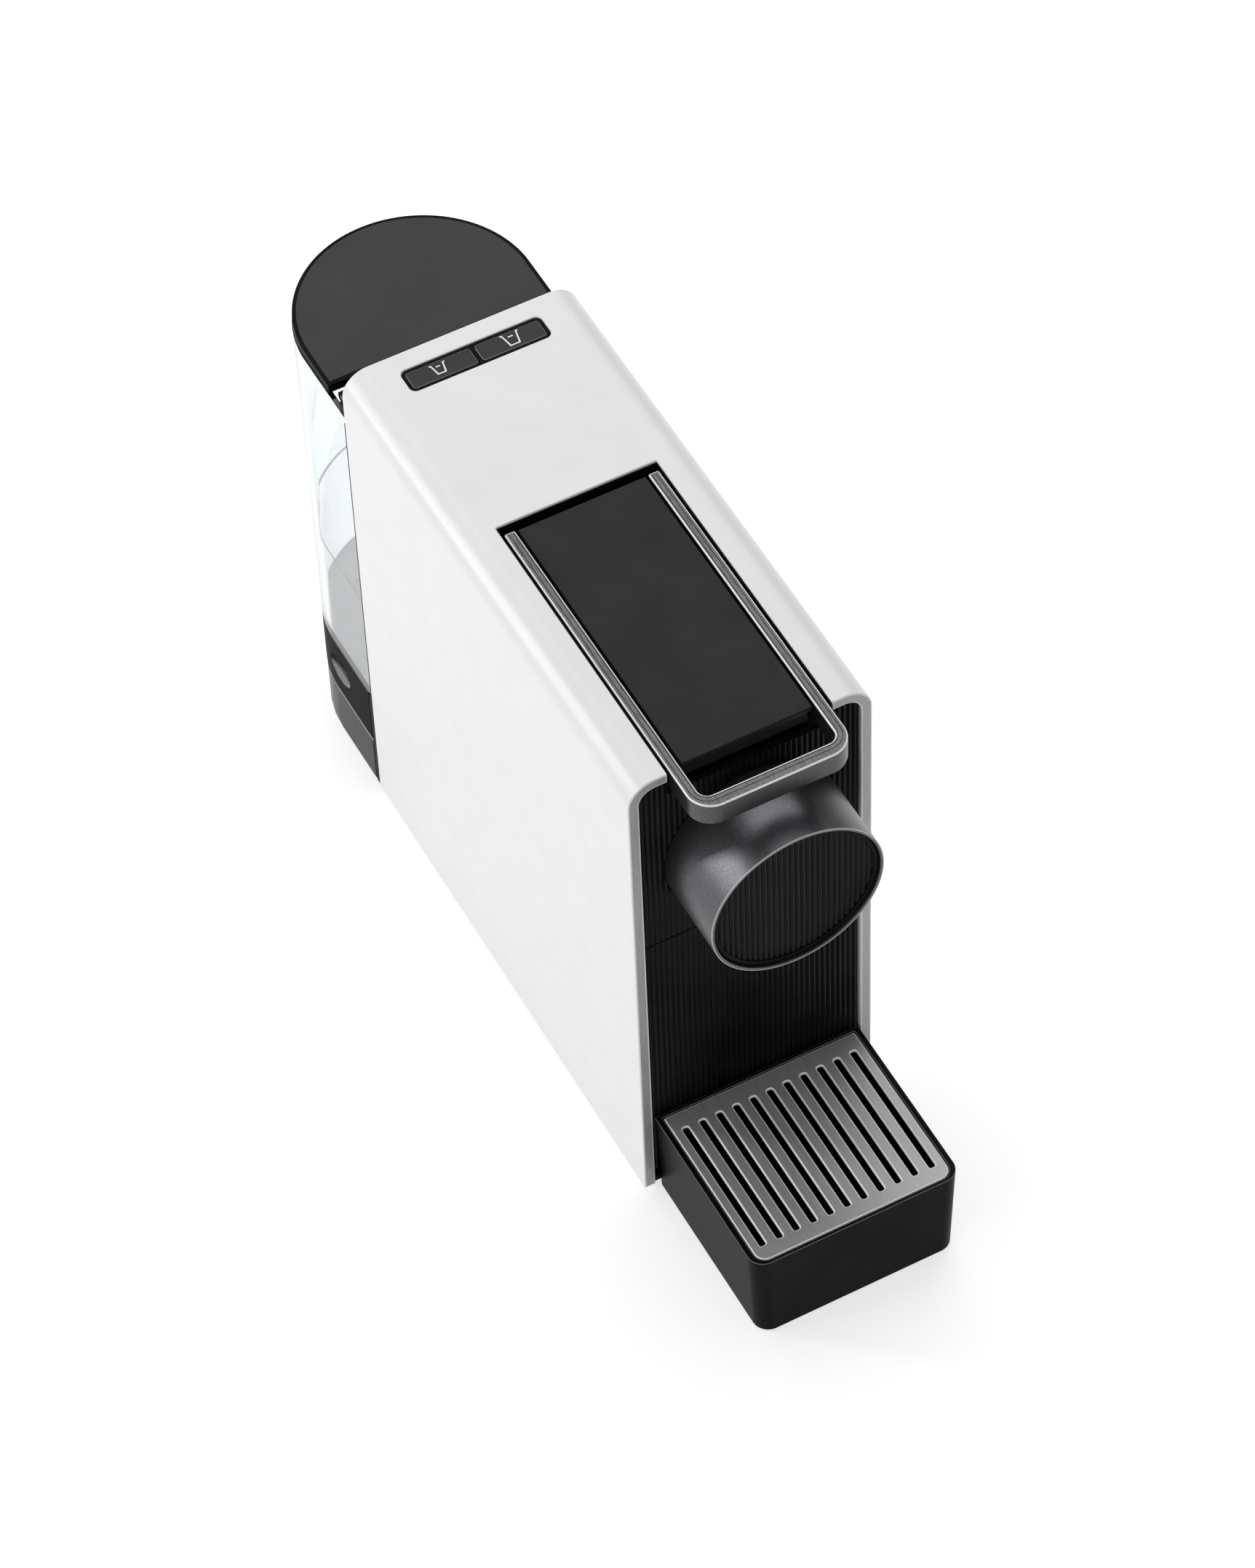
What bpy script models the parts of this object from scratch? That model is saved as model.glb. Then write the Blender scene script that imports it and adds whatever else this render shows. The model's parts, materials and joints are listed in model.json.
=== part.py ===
"""Slim lever-top pod coffee machine, modelled as the separate pieces that it comes apart into.

Metres, +Z up, the front towards -Y. The origin is on the table under the middle of the machine.
Each moving piece hangs on an empty that stands on the axis of its joint.
"""

import math

import bmesh
import bpy
from mathutils import Matrix, Vector

# Overall sizes
WIDTH = 0.0906
HEIGHT = 0.226
SHELL_DEPTH = 0.2073
TRAY_REACH = 0.072
TANK_REACH = 0.0777

# Clearances
GAP = 0.0003
RUNNING = 0.0006
FREE = 0.0015

# How far a cutter reaches past what it cuts
OVERCUT = 0.001

# Outer shell
SHELL_WALL = 0.0042
SHELL_RADIUS = 0.0103
SHELL_BOTTOM = 0.0032
OPENING_CLEARANCE = 0.0013
OPENING_LENGTH = 0.1207

# Floor, feet and panels
FLOOR_THICKNESS = 0.003
FOOT_RADIUS = 0.006
FOOT_INSET = 0.012
SCREW_RADIUS = 0.0021
SCREW_HEAD_RADIUS = 0.0036
PANEL_THICKNESS = 0.0025
FASCIA_SETBACK = 0.001
NOTCH_CLEARANCE = 0.001

# Drip tray, grate and capsule container
TRAY_CLEARANCE = 0.0008
TRAY_HEIGHT = 0.0419
TRAY_RADIUS = 0.006
TRAY_DRAFT = 0.0016
TRAY_SHOULDER = 0.0008
TRAY_WALL = 0.0026
TRAY_LIFT = 0.0006
SLED_THICKNESS = 0.003
GRATE_THICKNESS = 0.0016
GRATE_LEDGE = 0.0012
SLOT_COUNT = 11
SLOT_PITCH = 0.00663
SLOT_WIDTH = 0.0024
SLOT_MARGIN_FRONT = 0.005
SLOT_MARGIN_REAR = 0.006
CONTAINER_LENGTH = 0.062
CONTAINER_WALL = 0.002

# Brew head
HEAD_RADIUS = 0.0322
HEAD_BELOW_TOP = 0.0508
HEAD_OVER_CONTAINER = 0.0055
HEAD_REACH = 0.0311
HEAD_WALL = 0.0022
CAP_SETBACK = 0.0012
CAP_THICKNESS = 0.003
SPOUT_RADIUS = 0.006
SPOUT_BORE = 0.0025
SPOUT_REACH = 0.0155

# Lever
LEVER_WIDTH = 0.0584
LEVER_RAIL = 0.004
LEVER_BAR = 0.0052
LEVER_DEPTH = 0.0095
LEVER_REACH = 0.0191
LEVER_REAR = 0.0037
LEVER_RADIUS = 0.009
LEVER_SETDOWN = 0.0005
COVER_GAP = 0.0011
COVER_SETBACK = 0.0019
COVER_DEPTH = 0.0102
COVER_WALL = 0.0022
PIVOT_FROM_OPENING_REAR = 0.0157
PIVOT_BELOW_TOP = 0.0085
PIN_RADIUS = 0.0016
CHEEK_THICKNESS = 0.003
CHEEK_BEHIND_CONTAINER = 0.004
CHEEK_BEFORE_OPENING_REAR = 0.0057
LUG_REACH = 0.004

# Brew unit
CAPSULE_RADIUS = 0.0187
CAPSULE_LENGTH = 0.030
PLATE_THICKNESS = 0.006
CAPSULE_RIM = 0.0037
CARRIAGE_WALL = 0.0028
CARRIAGE_BACK = 0.006
CHUTE_WALL = 0.0018
CHUTE_DEPTH = 0.013
OUTLET_RADIUS = 0.004
OUTLET_ARM = 0.006
PLATE_SETBACK = 0.001
CHUTE_OVER_CARRIAGE = 0.005
CARRIAGE_EAR = 0.005

# Buttons
PAD_WIDTH = 0.054
PAD_LENGTH = 0.0107
PAD_FROM_REAR = 0.0133
PAD_RADIUS = 0.0025
PAD_RIM = 0.0011
BUTTON_DEPTH = 0.0117
BUTTON_TRAVEL = 0.001
BOARD_THICKNESS = 0.0016
SWITCH_SIZE = 0.006

# Water tank, lid and dock
TANK_INSET = 0.0011
TANK_WALL = 0.002
TANK_FLOOR = 0.0025
TANK_BOTTOM = 0.0518
LID_BELOW_TOP = 0.0194
LID_THICKNESS = 0.0039
LID_START = 0.015
HINGE_INSET = 0.0102
HINGE_BELOW = 0.003
KNUCKLE_RADIUS = 0.0022
KNUCKLE_LENGTH = 0.0045
LID_PIN_RADIUS = 0.0012
SPINE_THICKNESS = 0.0042
SKIRT_TOP = 0.0234
SKIRT_WALL = 0.003
DOCK_LIFT = 0.0006
GLAND_RADIUS = 0.0055
GLAND_BORE = 0.0033
GLAND_MARGIN = 0.004
GLAND_DEPTH = 0.005
GLAND_STANDS_OUT = 0.001
VALVE_FROM_SHELL = 0.037
VALVE_RADIUS = 0.0075
VALVE_BORE = 0.0045
VALVE_FLANGE_RADIUS = 0.0115
VALVE_FLANGE_THICKNESS = 0.002
RECESS_RADIUS = 0.0125
RECESS_DEPTH = 0.0155
PLUNGER_RADIUS = 0.003

# Water pump, heater and flow meter
PUMP_RADIUS = 0.019
PUMP_NECK = 0.0095
PUMP_LENGTH = 0.068
PUMP_HEIGHT = 0.040
PUMP_BEFORE_PANEL = 0.0192
BRACKET_WALL = 0.002
MOUNT_RADIUS = 0.0150
HEATER_SIZE = (0.042, 0.048, 0.044)
HEATER_BELOW_CARRIAGE = 0.0234
HEATER_BEHIND_CHEEK = 0.002
METER_RADIUS = 0.015
METER_LENGTH = 0.0135
METER_HEIGHT = 0.100
METER_X = -0.022
ROTOR_RADIUS = 0.0105
HOSE_RADIUS = 0.0025

# Places worked out from the sizes
DEPTH = TRAY_REACH + SHELL_DEPTH + TANK_REACH
FRONT = -DEPTH / 2
SHELL_FRONT = FRONT + TRAY_REACH
SHELL_REAR = SHELL_FRONT + SHELL_DEPTH
REAR = SHELL_REAR + TANK_REACH
INSIDE = WIDTH / 2 - SHELL_WALL
CEILING = HEIGHT - SHELL_WALL
INNER_RADIUS = SHELL_RADIUS - SHELL_WALL
FLOOR_TOP = SHELL_BOTTOM + FLOOR_THICKNESS
FASCIA_FRONT = SHELL_FRONT + FASCIA_SETBACK
FASCIA_REAR = FASCIA_FRONT + PANEL_THICKNESS
PANEL_REAR = SHELL_REAR - 2 * GAP
PANEL_FRONT = PANEL_REAR - PANEL_THICKNESS
TRAY_HALF = INSIDE - TRAY_CLEARANCE
TRAY_BACK = SHELL_FRONT + GAP
SLED_BOTTOM = FLOOR_TOP + RUNNING
SLED_TOP = SLED_BOTTOM + SLED_THICKNESS
HEAD_HEIGHT = HEIGHT - HEAD_BELOW_TOP
CONTAINER_TOP = HEAD_HEIGHT - HEAD_RADIUS - HEAD_OVER_CONTAINER
CONTAINER_REAR = FASCIA_FRONT + CONTAINER_LENGTH
OPENING_HALF = LEVER_WIDTH / 2 + OPENING_CLEARANCE
OPENING_REAR = SHELL_FRONT + OPENING_LENGTH
LEVER_TOP = HEIGHT - LEVER_SETDOWN
LEVER_BOTTOM = LEVER_TOP - LEVER_DEPTH
COVER_BOTTOM = LEVER_TOP - COVER_DEPTH
PIVOT_Y = OPENING_REAR - PIVOT_FROM_OPENING_REAR
PIVOT_Z = HEIGHT - PIVOT_BELOW_TOP
CHEEK_INNER = LEVER_WIDTH / 2 + 2 * GAP
CHEEK_OUTER = CHEEK_INNER + CHEEK_THICKNESS
CHEEK_FRONT = FASCIA_REAR + 2 * RUNNING + FREE
CHEEK_LEG = CONTAINER_REAR + CHEEK_BEHIND_CONTAINER
CHEEK_REAR = OPENING_REAR - CHEEK_BEFORE_OPENING_REAR
PLATE_RADIUS = CAPSULE_RADIUS + 3 * RUNNING
PLATE_FRONT = CHEEK_FRONT + PLATE_SETBACK
PLATE_REAR = PLATE_FRONT + PLATE_THICKNESS
CARRIAGE_BORE = CAPSULE_RADIUS - CAPSULE_RIM
CARRIAGE_RADIUS = CARRIAGE_BORE + CARRIAGE_WALL
CARRIAGE_FRONT = PLATE_REAR + 2 * FREE
CARRIAGE_REAR = CARRIAGE_FRONT + CAPSULE_LENGTH + CARRIAGE_BACK
SPOUT_Y = SHELL_FRONT - SPOUT_REACH
PAD_Y = SHELL_REAR - PAD_FROM_REAR
TANK_FRONT = SHELL_REAR + RUNNING
TANK_HALF = WIDTH / 2 - TANK_INSET
SPINE_REAR = TANK_FRONT + SPINE_THICKNESS
DOCK_TOP = TANK_BOTTOM - RUNNING
LID_TOP = HEIGHT - LID_BELOW_TOP
TANK_TOP = LID_TOP - LID_THICKNESS - GAP
HINGE_Y = SHELL_REAR + HINGE_INSET
HINGE_Z = LID_TOP - HINGE_BELOW
VALVE_Y = SHELL_REAR + VALVE_FROM_SHELL
METER_Y = PANEL_FRONT - GAP - METER_LENGTH
PUMP_REAR = PANEL_FRONT - PUMP_BEFORE_PANEL
PUMP_FRONT = PUMP_REAR - PUMP_LENGTH
HEATER_TOP = HEAD_HEIGHT - CARRIAGE_RADIUS - HEATER_BELOW_CARRIAGE
HEATER_BOTTOM = HEATER_TOP - HEATER_SIZE[2]
HEATER_Y = CHEEK_LEG + HEATER_SIZE[1] / 2 + HEATER_BEHIND_CHEEK

FINISHES = {
    "gloss_white": ((0.86, 0.87, 0.87), 0.12, 0.0),
    "black_plastic": ((0.012, 0.012, 0.013), 0.35, 0.0),
    "dark_plastic": ((0.05, 0.05, 0.052), 0.4, 0.0),
    "graphite_metal": ((0.22, 0.22, 0.24), 0.28, 0.9),
    "grate_metal": ((0.36, 0.36, 0.38), 0.35, 0.9),
    "clear_plastic": ((0.86, 0.9, 0.93), 0.05, 0.0),
    "smoke_plastic": ((0.42, 0.42, 0.46), 0.15, 0.0),
    "rubber": ((0.03, 0.03, 0.03), 0.8, 0.0),
    "steel": ((0.62, 0.62, 0.63), 0.3, 1.0),
    "cast_aluminium": ((0.6, 0.6, 0.6), 0.5, 1.0),
    "grey_plastic": ((0.3, 0.3, 0.31), 0.5, 0.0),
    "circuit_board": ((0.03, 0.16, 0.07), 0.5, 0.0),
    "silicone_hose": ((0.75, 0.75, 0.73), 0.4, 0.0),
}


def clear_scene():
    """Removes everything the scene starts with."""
    for obj in list(bpy.data.objects):
        bpy.data.objects.remove(obj, do_unlink=True)


def material(name):
    """The named finish as a Principled material, made once."""
    found = bpy.data.materials.get(name)
    if found:
        return found
    colour, roughness, metallic = FINISHES[name]
    made = bpy.data.materials.new(name)
    made.use_nodes = True
    shader = made.node_tree.nodes["Principled BSDF"]
    shader.inputs["Base Color"].default_value = (*colour, 1.0)
    shader.inputs["Roughness"].default_value = roughness
    shader.inputs["Metallic"].default_value = metallic
    made.diffuse_color = (*colour, 1.0)
    return made


def arc(centre, radius, start, end, steps):
    """Points along an arc, from one angle in degrees to another."""
    points = []
    for step in range(steps + 1):
        angle = math.radians(start + (end - start) * step / steps)
        points.append((centre[0] + radius * math.cos(angle), centre[1] + radius * math.sin(angle)))
    return points


def rectangle(half_u, half_v, radius=0.0, centre=(0.0, 0.0), steps=4):
    """A rectangle's outline, anticlockwise, with round corners where radius isn't 0."""
    points = []
    for turn, (side_u, side_v) in enumerate(((1, 1), (-1, 1), (-1, -1), (1, -1))):
        corner = (
            centre[0] + side_u * (half_u - radius),
            centre[1] + side_v * (half_v - radius),
        )
        points += arc(corner, radius, 90 * turn, 90 * turn + 90, steps) if radius else [corner]
    return points


def d_outline(half, front, rear, steps=20):
    """A D seen from above: a straight front, straight sides and a half-round rear."""
    return [(-half, front), (half, front)] + arc((0.0, rear - half), half, 0, 180, steps)


def u_outline(half, wall, front, rear, steps=20):
    """The wall of that D with its front left open."""
    outer = [(half, front)] + arc((0.0, rear - half), half, 0, 180, steps) + [(-half, front)]
    inner = arc((0.0, rear - half), half - wall, 180, 0, steps)
    return outer + [(wall - half, front)] + inner + [(half - wall, front)]


def arch(half, bottom, top, radius, steps=5):
    """An upright panel's outline in X and Z, with its two upper corners round."""
    right = arc((half - radius, top - radius), radius, 0, 90, steps)
    left = arc((radius - half, top - radius), radius, 90, 180, steps)
    return [(-half, bottom), (half, bottom)] + right + left


def placed(u, v, along, axis):
    """The point that an outline's u and v give when it is carried along an axis."""
    if axis == "X":
        return (along, u, v)
    if axis == "Y":
        return (u, along, v)
    return (u, v, along)


def prism(outline, low, high, axis="Z"):
    """The outline, in the two other axes, carried from low to high along one axis."""
    return lofted(outline, outline, low, high, axis)


def lofted(first, last, low, high, axis="Z"):
    """A solid from one outline at low to another of as many points at high."""
    bm = bmesh.new()
    ends = []
    for outline, along in ((first, low), (last, high)):
        ends.append([bm.verts.new(placed(u, v, along, axis)) for u, v in outline])
    bm.faces.new(ends[0])
    bm.faces.new(ends[1])
    for index, corner in enumerate(ends[0]):
        following = (index + 1) % len(first)
        bm.faces.new((corner, ends[0][following], ends[1][following], ends[1][index]))
    bmesh.ops.recalc_face_normals(bm, faces=bm.faces)
    return bm


def block(x, y, z):
    """A box from its three (low, high) pairs."""
    return prism([(x[0], y[0]), (x[1], y[0]), (x[1], y[1]), (x[0], y[1])], z[0], z[1])


def turned(profile, centre=(0.0, 0.0, 0.0), axis="Z", steps=28):
    """A closed profile of (radius, place) points, turned about an axis through centre."""
    bm = bmesh.new()
    rings = []
    for radius, along in profile:
        count = steps if radius > 0 else 1
        corners = []
        for step in range(count):
            angle = 2 * math.pi * step / count
            u, v = radius * math.cos(angle), radius * math.sin(angle)
            corners.append(bm.verts.new(Vector(centre) + Vector(placed(u, v, along, axis))))
        rings.append(corners)
    for index, near in enumerate(rings):
        other = rings[(index + 1) % len(rings)]
        for step in range(steps):
            nearby = (near[step % len(near)], near[(step + 1) % len(near)])
            across = (other[(step + 1) % len(other)], other[step % len(other)])
            corners = list(dict.fromkeys(nearby + across))
            if len(corners) > 2:
                bm.faces.new(corners)
    bmesh.ops.recalc_face_normals(bm, faces=bm.faces)
    return bm


def rod(radius, low, high, centre=(0.0, 0.0, 0.0), axis="Z", steps=28):
    """A plain cylinder along an axis."""
    profile = [(0.0, low), (radius, low), (radius, high), (0.0, high)]
    return turned(profile, centre, axis, steps)


def ring(inner, outer, low, high, centre=(0.0, 0.0, 0.0), axis="Z", steps=28):
    """A plain tube along an axis."""
    profile = [(inner, low), (outer, low), (outer, high), (inner, high)]
    return turned(profile, centre, axis, steps)


def piece(name, bm, finish, carrier=None):
    """Makes the mesh an object of that name, hung on its empty if it moves."""
    mesh = bpy.data.meshes.new(name)
    bm.to_mesh(mesh)
    bm.free()
    mesh.shade_smooth()
    mesh.set_sharp_from_angle(angle=math.radians(35))
    obj = bpy.data.objects.new(name, mesh)
    obj.data.materials.append(material(finish))
    bpy.context.scene.collection.objects.link(obj)
    if carrier:
        obj.parent = carrier
        obj.location = -Vector(carrier.location)
    return obj


def combine(obj, bm, operation):
    """Cuts the mesh from a piece, or joins it on, with a hidden helper."""
    label = f"{obj.name}_helper_{len(obj.modifiers)}"
    mesh = bpy.data.meshes.new(label)
    bm.to_mesh(mesh)
    bm.free()
    helper = bpy.data.objects.new(label, mesh)
    helper.hide_render = True
    helper.display_type = "WIRE"
    bpy.context.scene.collection.objects.link(helper)
    modifier = obj.modifiers.new(label, "BOOLEAN")
    modifier.operation = operation
    modifier.solver = "EXACT"
    modifier.object = helper


def cut(obj, *meshes):
    """Cuts each mesh from the piece."""
    for bm in meshes:
        combine(obj, bm, "DIFFERENCE")


def join(obj, *meshes):
    """Joins each mesh onto the piece."""
    for bm in meshes:
        combine(obj, bm, "UNION")


def pivot(name, place, parent=None):
    """An empty on a joint's axis. Its place is in the machine's own frame."""
    empty = bpy.data.objects.new(name, None)
    empty.location = place
    bpy.context.scene.collection.objects.link(empty)
    if parent:
        empty.parent = parent
        empty.matrix_parent_inverse = Matrix.Translation(-Vector(parent.location))
    return empty


def hose(name, points, radius=HOSE_RADIUS, steps=5):
    """A round hose that follows a smooth curve through its own points."""
    through = [Vector(point) for point in points]
    through.insert(1, through[0].lerp(through[1], 0.3))
    through.insert(-1, through[-1].lerp(through[-2], 0.3))
    through = [2 * through[0] - through[1]] + through + [2 * through[-1] - through[-2]]
    path = []
    for index in range(1, len(through) - 2):
        before, start, end, after = through[index - 1 : index + 3]
        for step in range(steps):
            t = step / steps
            path.append(
                0.5
                * (
                    2 * start
                    + (end - before) * t
                    + (2 * before - 5 * start + 4 * end - after) * t**2
                    + (3 * start - before - 3 * end + after) * t**3
                )
            )
    path.append(through[-2])
    curve = bpy.data.curves.new(name, "CURVE")
    curve.dimensions = "3D"
    curve.bevel_depth = radius
    curve.bevel_resolution = 2
    curve.use_fill_caps = True
    spline = curve.splines.new("POLY")
    spline.points.add(len(path) - 1)
    for point, place in zip(spline.points, path):
        point.co = (*place, 1.0)
    obj = bpy.data.objects.new(name, curve)
    obj.data.materials.append(material("silicone_hose"))
    bpy.context.scene.collection.objects.link(obj)
    return obj


def outer_shell():
    """The glossy casing: an upturned U with the lever's opening and the button slot in its top."""
    half = WIDTH / 2
    outer = arch(half, SHELL_BOTTOM, HEIGHT, SHELL_RADIUS)
    inner = arch(INSIDE, SHELL_BOTTOM, CEILING, INNER_RADIUS)
    outline = [outer[1]] + outer[2:] + [outer[0], inner[0]] + inner[:1:-1] + [inner[1]]
    shell = piece("outer_shell", prism(outline, SHELL_FRONT, SHELL_REAR, "Y"), "gloss_white")
    top = (CEILING - OVERCUT, HEIGHT + OVERCUT)
    cut(shell, block((-OPENING_HALF, OPENING_HALF), (SHELL_FRONT - OVERCUT, OPENING_REAR), top))
    pad = rectangle(PAD_WIDTH / 2, PAD_LENGTH / 2, PAD_RADIUS, (0.0, PAD_Y))
    cut(shell, prism(pad, *top))


def base_plate():
    """The floor that everything inside stands on, with its feet and screws."""
    half = INSIDE - GAP
    plate = piece(
        "base_plate",
        block((-half, half), (FASCIA_FRONT, PANEL_REAR), (SHELL_BOTTOM, FLOOR_TOP)),
        "black_plastic",
    )
    foot_x = half - FOOT_INSET
    foot_rows = {"front": SHELL_FRONT + FOOT_INSET * 1.5, "rear": SHELL_REAR - FOOT_INSET}
    for row, y in foot_rows.items():
        for side, x in (("left", -foot_x), ("right", foot_x)):
            piece(
                f"foot_{row}_{side}",
                rod(FOOT_RADIUS, 0.0, SHELL_BOTTOM - GAP, (x, y, 0.0), steps=24),
                "rubber",
            )
            inward = 2 * FOOT_INSET if row == "front" else -2 * FOOT_INSET
            place = (x, y + inward, 0.0)
            head = 0.0012
            shank = FLOOR_THICKNESS - head - GAP
            profile = [
                (0.0, SHELL_BOTTOM - head),
                (SCREW_HEAD_RADIUS, SHELL_BOTTOM - head),
                (SCREW_HEAD_RADIUS, SHELL_BOTTOM - GAP),
                (SCREW_RADIUS, SHELL_BOTTOM - GAP),
                (SCREW_RADIUS, SHELL_BOTTOM + shank),
                (0.0, SHELL_BOTTOM + shank),
            ]
            piece(f"screw_{row}_{side}", turned(profile, place, steps=16), "steel")
            hole = SCREW_RADIUS + GAP
            cut(plate, rod(hole, SHELL_BOTTOM - OVERCUT, FLOOR_TOP + OVERCUT, place, steps=16))


def rear_panel():
    """The black panel that closes the shell behind, with the hole for the tank's hose."""
    panel = piece(
        "rear_panel",
        prism(
            arch(INSIDE - GAP, FLOOR_TOP + GAP, CEILING - GAP, INNER_RADIUS - GAP),
            PANEL_FRONT,
            PANEL_REAR,
            "Y",
        ),
        "black_plastic",
    )
    cut(panel, hose_hole(PANEL_FRONT, PANEL_REAR))


def hose_hole(low, high):
    """The cutter of the hole that the tank's hose goes through."""
    place = (METER_X, 0.0, (SKIRT_TOP + DOCK_TOP) / 2)
    return rod(HOSE_RADIUS + RUNNING, low - OVERCUT, high + OVERCUT, place, "Y", 16)


def front_fascia():
    """The upper front panel, notched under the lever, with the hole that the head comes through."""
    half = INSIDE - GAP
    bottom = CONTAINER_TOP + RUNNING
    top = CEILING - GAP
    notch = CHEEK_INNER + GAP
    notch_top = COVER_BOTTOM - NOTCH_CLEARANCE
    corner = INNER_RADIUS - GAP
    right = arc((half - corner, top - corner), corner, 0, 90, 5)
    left = arc((corner - half, top - corner), corner, 90, 180, 5)
    outline = [(-half, bottom), (half, bottom)] + right
    outline += [(notch, top), (notch, notch_top), (-notch, notch_top), (-notch, top)] + left
    fascia = piece("front_fascia", prism(outline, FASCIA_FRONT, FASCIA_REAR, "Y"), "black_plastic")
    hole = HEAD_RADIUS + GAP
    place = (0.0, 0.0, HEAD_HEIGHT)
    cut(fascia, rod(hole, FASCIA_FRONT - OVERCUT, FASCIA_REAR + OVERCUT, place, "Y", 40))


def brew_head():
    """The round head: its tube, the cap in the tube's front and the spout under it."""
    front = SHELL_FRONT - HEAD_REACH
    back = FASCIA_REAR + RUNNING
    place = (0.0, 0.0, HEAD_HEIGHT)
    inner = HEAD_RADIUS - HEAD_WALL
    housing = piece(
        "brew_head_housing",
        ring(inner, HEAD_RADIUS, front, back, place, "Y", 40),
        "graphite_metal",
    )
    spout_place = (0.0, SPOUT_Y, 0.0)
    low = HEAD_HEIGHT - HEAD_RADIUS - OVERCUT
    high = HEAD_HEIGHT - HEAD_RADIUS / 2
    cut(housing, rod(SPOUT_RADIUS + GAP, low, high, spout_place, steps=20))
    cap_front = front + CAP_SETBACK
    piece(
        "brew_head_cap",
        rod(inner - GAP, cap_front, cap_front + CAP_THICKNESS, place, "Y", 40),
        "black_plastic",
    )
    spout_top = HEAD_HEIGHT - OUTLET_RADIUS - GAP
    spout_bottom = CONTAINER_TOP + FREE
    taper = 0.001
    profile = [
        (SPOUT_BORE, spout_bottom),
        (SPOUT_RADIUS - taper, spout_bottom),
        (SPOUT_RADIUS, spout_bottom + 3 * taper),
        (SPOUT_RADIUS, spout_top),
        (SPOUT_BORE, spout_top),
    ]
    piece("coffee_spout", turned(profile, spout_place, steps=20), "black_plastic")


def brew_unit():
    """What holds and brews the capsule: two cheeks, the chute, the outlet plate."""
    outline = [
        (CHEEK_FRONT, CONTAINER_TOP + FREE),
        (CHEEK_LEG, CONTAINER_TOP + FREE),
        (CHEEK_LEG, FLOOR_TOP + GAP),
        (CHEEK_REAR, FLOOR_TOP + GAP),
        (CHEEK_REAR, CEILING - GAP),
        (CHEEK_FRONT, CEILING - GAP),
    ]
    for side, sign in (("left", -1), ("right", 1)):
        low, high = sorted((sign * CHEEK_INNER, sign * CHEEK_OUTER))
        cheek = piece(f"brew_cheek_{side}", prism(outline, low, high, "X"), "grey_plastic")
        place = (0.0, PIVOT_Y, PIVOT_Z)
        cut(cheek, rod(PIN_RADIUS + GAP, low - OVERCUT, high + OVERCUT, place, "X", 16))
        ends = sorted((sign * (LEVER_WIDTH / 2 - LEVER_RAIL + GAP), sign * CHEEK_OUTER))
        piece(f"lever_pin_{side}", rod(PIN_RADIUS, *ends, place, "X", 16), "steel")

    half = CHEEK_INNER - GAP
    place = (0.0, 0.0, HEAD_HEIGHT)
    plate = piece(
        "brew_outlet_plate",
        rod(PLATE_RADIUS, PLATE_FRONT, PLATE_REAR, place, "Y"),
        "dark_plastic",
    )
    arm_y = (PLATE_FRONT + PLATE_THICKNESS / 6, PLATE_REAR - PLATE_THICKNESS / 6)
    arm_z = (HEAD_HEIGHT - OUTLET_ARM, HEAD_HEIGHT + OUTLET_ARM)
    join(plate, block((-half, half), arm_y, arm_z))
    tip = SPOUT_Y - OUTLET_RADIUS
    join(plate, rod(OUTLET_RADIUS, tip, PLATE_FRONT + PLATE_THICKNESS / 3, place, "Y", 16))

    slack = 0.001
    inner_x = CAPSULE_RADIUS + slack
    inner_y = (PLATE_REAR, PLATE_REAR + CAPSULE_LENGTH + 2 * slack)
    low = HEAD_HEIGHT + CARRIAGE_RADIUS + CHUTE_OVER_CARRIAGE
    z = (low, low + CHUTE_DEPTH)
    outer_x = inner_x + CHUTE_WALL
    outer_y = (inner_y[0] - CHUTE_WALL, inner_y[1] + CHUTE_WALL)
    chute = piece(
        "capsule_chute", block((-outer_x, outer_x), outer_y, z), "dark_plastic"
    )
    middle = sum(inner_y) / 2
    tab = 0.004
    join(chute, block((-half, half), (middle - tab, middle + tab), (z[0] + 0.002, z[0] + 0.005)))
    cut(chute, block((-inner_x, inner_x), inner_y, (z[0] - OVERCUT, z[1] + OVERCUT)))


def brew_carriage():
    """The cage that slides forward over the capsule as the lever closes."""
    at = pivot("carriage_axis", (0.0, CARRIAGE_FRONT, HEAD_HEIGHT))
    place = (0.0, 0.0, HEAD_HEIGHT)
    carriage = piece(
        "brew_carriage",
        rod(CARRIAGE_RADIUS, CARRIAGE_FRONT, CARRIAGE_REAR, place, "Y"),
        "grey_plastic",
        at,
    )
    half = CHEEK_INNER - RUNNING
    y = (CARRIAGE_REAR - 4 * CARRIAGE_EAR, CARRIAGE_REAR - CARRIAGE_EAR / 5)
    z = (HEAD_HEIGHT - CARRIAGE_EAR, HEAD_HEIGHT + CARRIAGE_EAR)
    join(carriage, block((-half, half), y, z))
    floor = CARRIAGE_REAR - CARRIAGE_BACK - 2 * OVERCUT
    cut(carriage, rod(CARRIAGE_BORE, CARRIAGE_FRONT - OVERCUT, floor, place, "Y"))


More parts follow.
